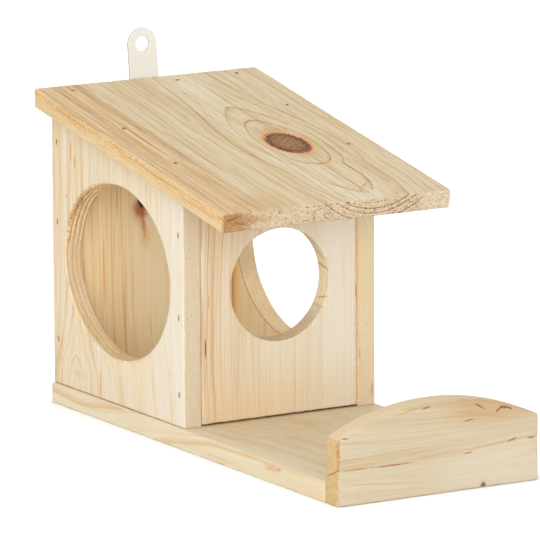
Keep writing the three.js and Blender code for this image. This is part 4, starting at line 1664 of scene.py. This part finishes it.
def set_world():
    """Even light from all round, which the camera and glossy rays see as white."""
    world = bpy.data.worlds.new("studio")
    bpy.context.scene.world = world
    g = Graph(world)
    camera_ray = g.add("ShaderNodeLightPath", output="Is Camera Ray")
    glossy_ray = Signal(g, camera_ray.socket.node.outputs["Is Glossy Ray"])
    seen = g.math("MAXIMUM", camera_ray, glossy_ray)
    colour = (1, 1, 1, 1)
    light = g.add("ShaderNodeBackground", {"Color": colour, "Strength": WORLD_LIGHT})
    white = g.add("ShaderNodeBackground", {"Color": colour})
    g.end("ShaderNodeOutputWorld", g.add("ShaderNodeMixShader", {0: seen, 1: light, 2: white}))


def add_lamp(name, direction, size, energy):
    """A square soft light that looks at the middle of the part."""
    data = bpy.data.lights.new(name, "AREA")
    data.shape = "SQUARE"
    data.size = size
    data.energy = energy
    lamp = linked_object(name, data)
    lamp.visible_camera = False
    aim = Vector((0, 0, AIM_HEIGHT * MM))
    lamp.location = aim + Vector(direction).normalized() * LAMP_DISTANCE
    lamp.rotation_euler = (aim - lamp.location).to_track_quat("-Z", "Y").to_euler()


def add_floor():
    """A pale floor that keeps the part's shadow, with a painted contact shadow where its glow dims near the
    part.
    """
    mesh = bpy.data.meshes.new("floor")
    corners = [(x * FLOOR_HALF, y * FLOOR_HALF, 0) for x, y in ((-1, -1), (1, -1), (1, 1), (-1, 1))]
    mesh.from_pydata(corners, [], [(0, 1, 2, 3)])
    g = Graph(bpy.data.materials.new("pale_floor"))
    matt = g.add("ShaderNodeBsdfDiffuse", {"Color": FLOOR_COLOUR})
    camera_ray = g.add("ShaderNodeLightPath", output="Is Camera Ray")
    across, along = g.measured(RIGHT, BACK)
    beside = g.math("MAXIMUM", g.math("ABSOLUTE", across) - base_high[0], 0.0)
    beyond = g.math("MAXIMUM", g.math("ABSOLUTE", along) - base_high[1], 0.0)
    away = (beside * beside + beyond * beyond) ** 0.5
    # Weaker glow near the part's foot: a painted soft contact shadow on top of the real one.
    strength = g.smooth(0.0, PAINTED_SHADOW_REACH, away) * (FLOOR_GLOW - PAINTED_SHADOW_GLOW) + PAINTED_SHADOW_GLOW
    glow = g.add("ShaderNodeEmission", {"Strength": strength * camera_ray})
    mesh.materials.append(g.end("ShaderNodeOutputMaterial", g.add("ShaderNodeAddShader", {0: matt, 1: glow})))
    linked_object("floor", mesh)


def add_camera():
    """The photograph's camera, rolled slightly, aimed by its fitted offsets."""
    data = bpy.data.cameras.new("camera")
    data.lens = FOCAL_PIXELS / FRAME_PIXELS * data.sensor_width
    data.clip_start, data.clip_end = 0.1, 20
    camera = linked_object("camera", data)
    a, e = CAMERA_AZIMUTH, CAMERA_ELEVATION
    back = Vector((math.sin(a) * math.cos(e), -math.cos(a) * math.cos(e), math.sin(e)))
    right = Vector((math.cos(a), math.sin(a), 0))
    up = back.cross(right)
    cos, sin = math.cos(CAMERA_ROLL), math.sin(CAMERA_ROLL)
    rolled_right, rolled_up = right * cos + up * sin, up * cos - right * sin
    aim = Vector((0, HOUSE_FRONT, AIM_HEIGHT))
    place = aim + back * CAMERA_DISTANCE + right * CAMERA_RIGHT + up * CAMERA_UP
    turn = Matrix((rolled_right, rolled_up, back)).transposed()
    camera.matrix_world = Matrix.Translation(place * MM) @ turn.to_4x4()
    bpy.context.scene.camera = camera


def build():
    for board in boards:
        build_board(board, wood_material(woods[board.node]))
    zinc = steel_material("zinc_steel", "#f1efe7", "#e1dfd5", 0.5, 0.35, rim="#9ea09c")
    bare = steel_material("brad_steel", "#98703c", "#68441e", 0.7, 0.8, 0.0, 0.05)
    dull = steel_material("roof_brad_steel", "#5c3210", "#3c1e08", 0.8, 0.8, 0.0, 0.05)
    build_strip(zinc)
    for node in ("upper_hanger_screw", "lower_hanger_screw"):
        build_screw(node, zinc)
    for name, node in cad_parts.items():
        if "_brad_" in name:
            node.data.materials.clear()
            node.data.materials.append(dull if name.startswith("roof_") else bare)
    set_world()
    for lamp in LAMPS:
        add_lamp(*lamp)
    add_floor()
    add_camera()
    bpy.context.scene.view_settings.view_transform = "Standard"


build()
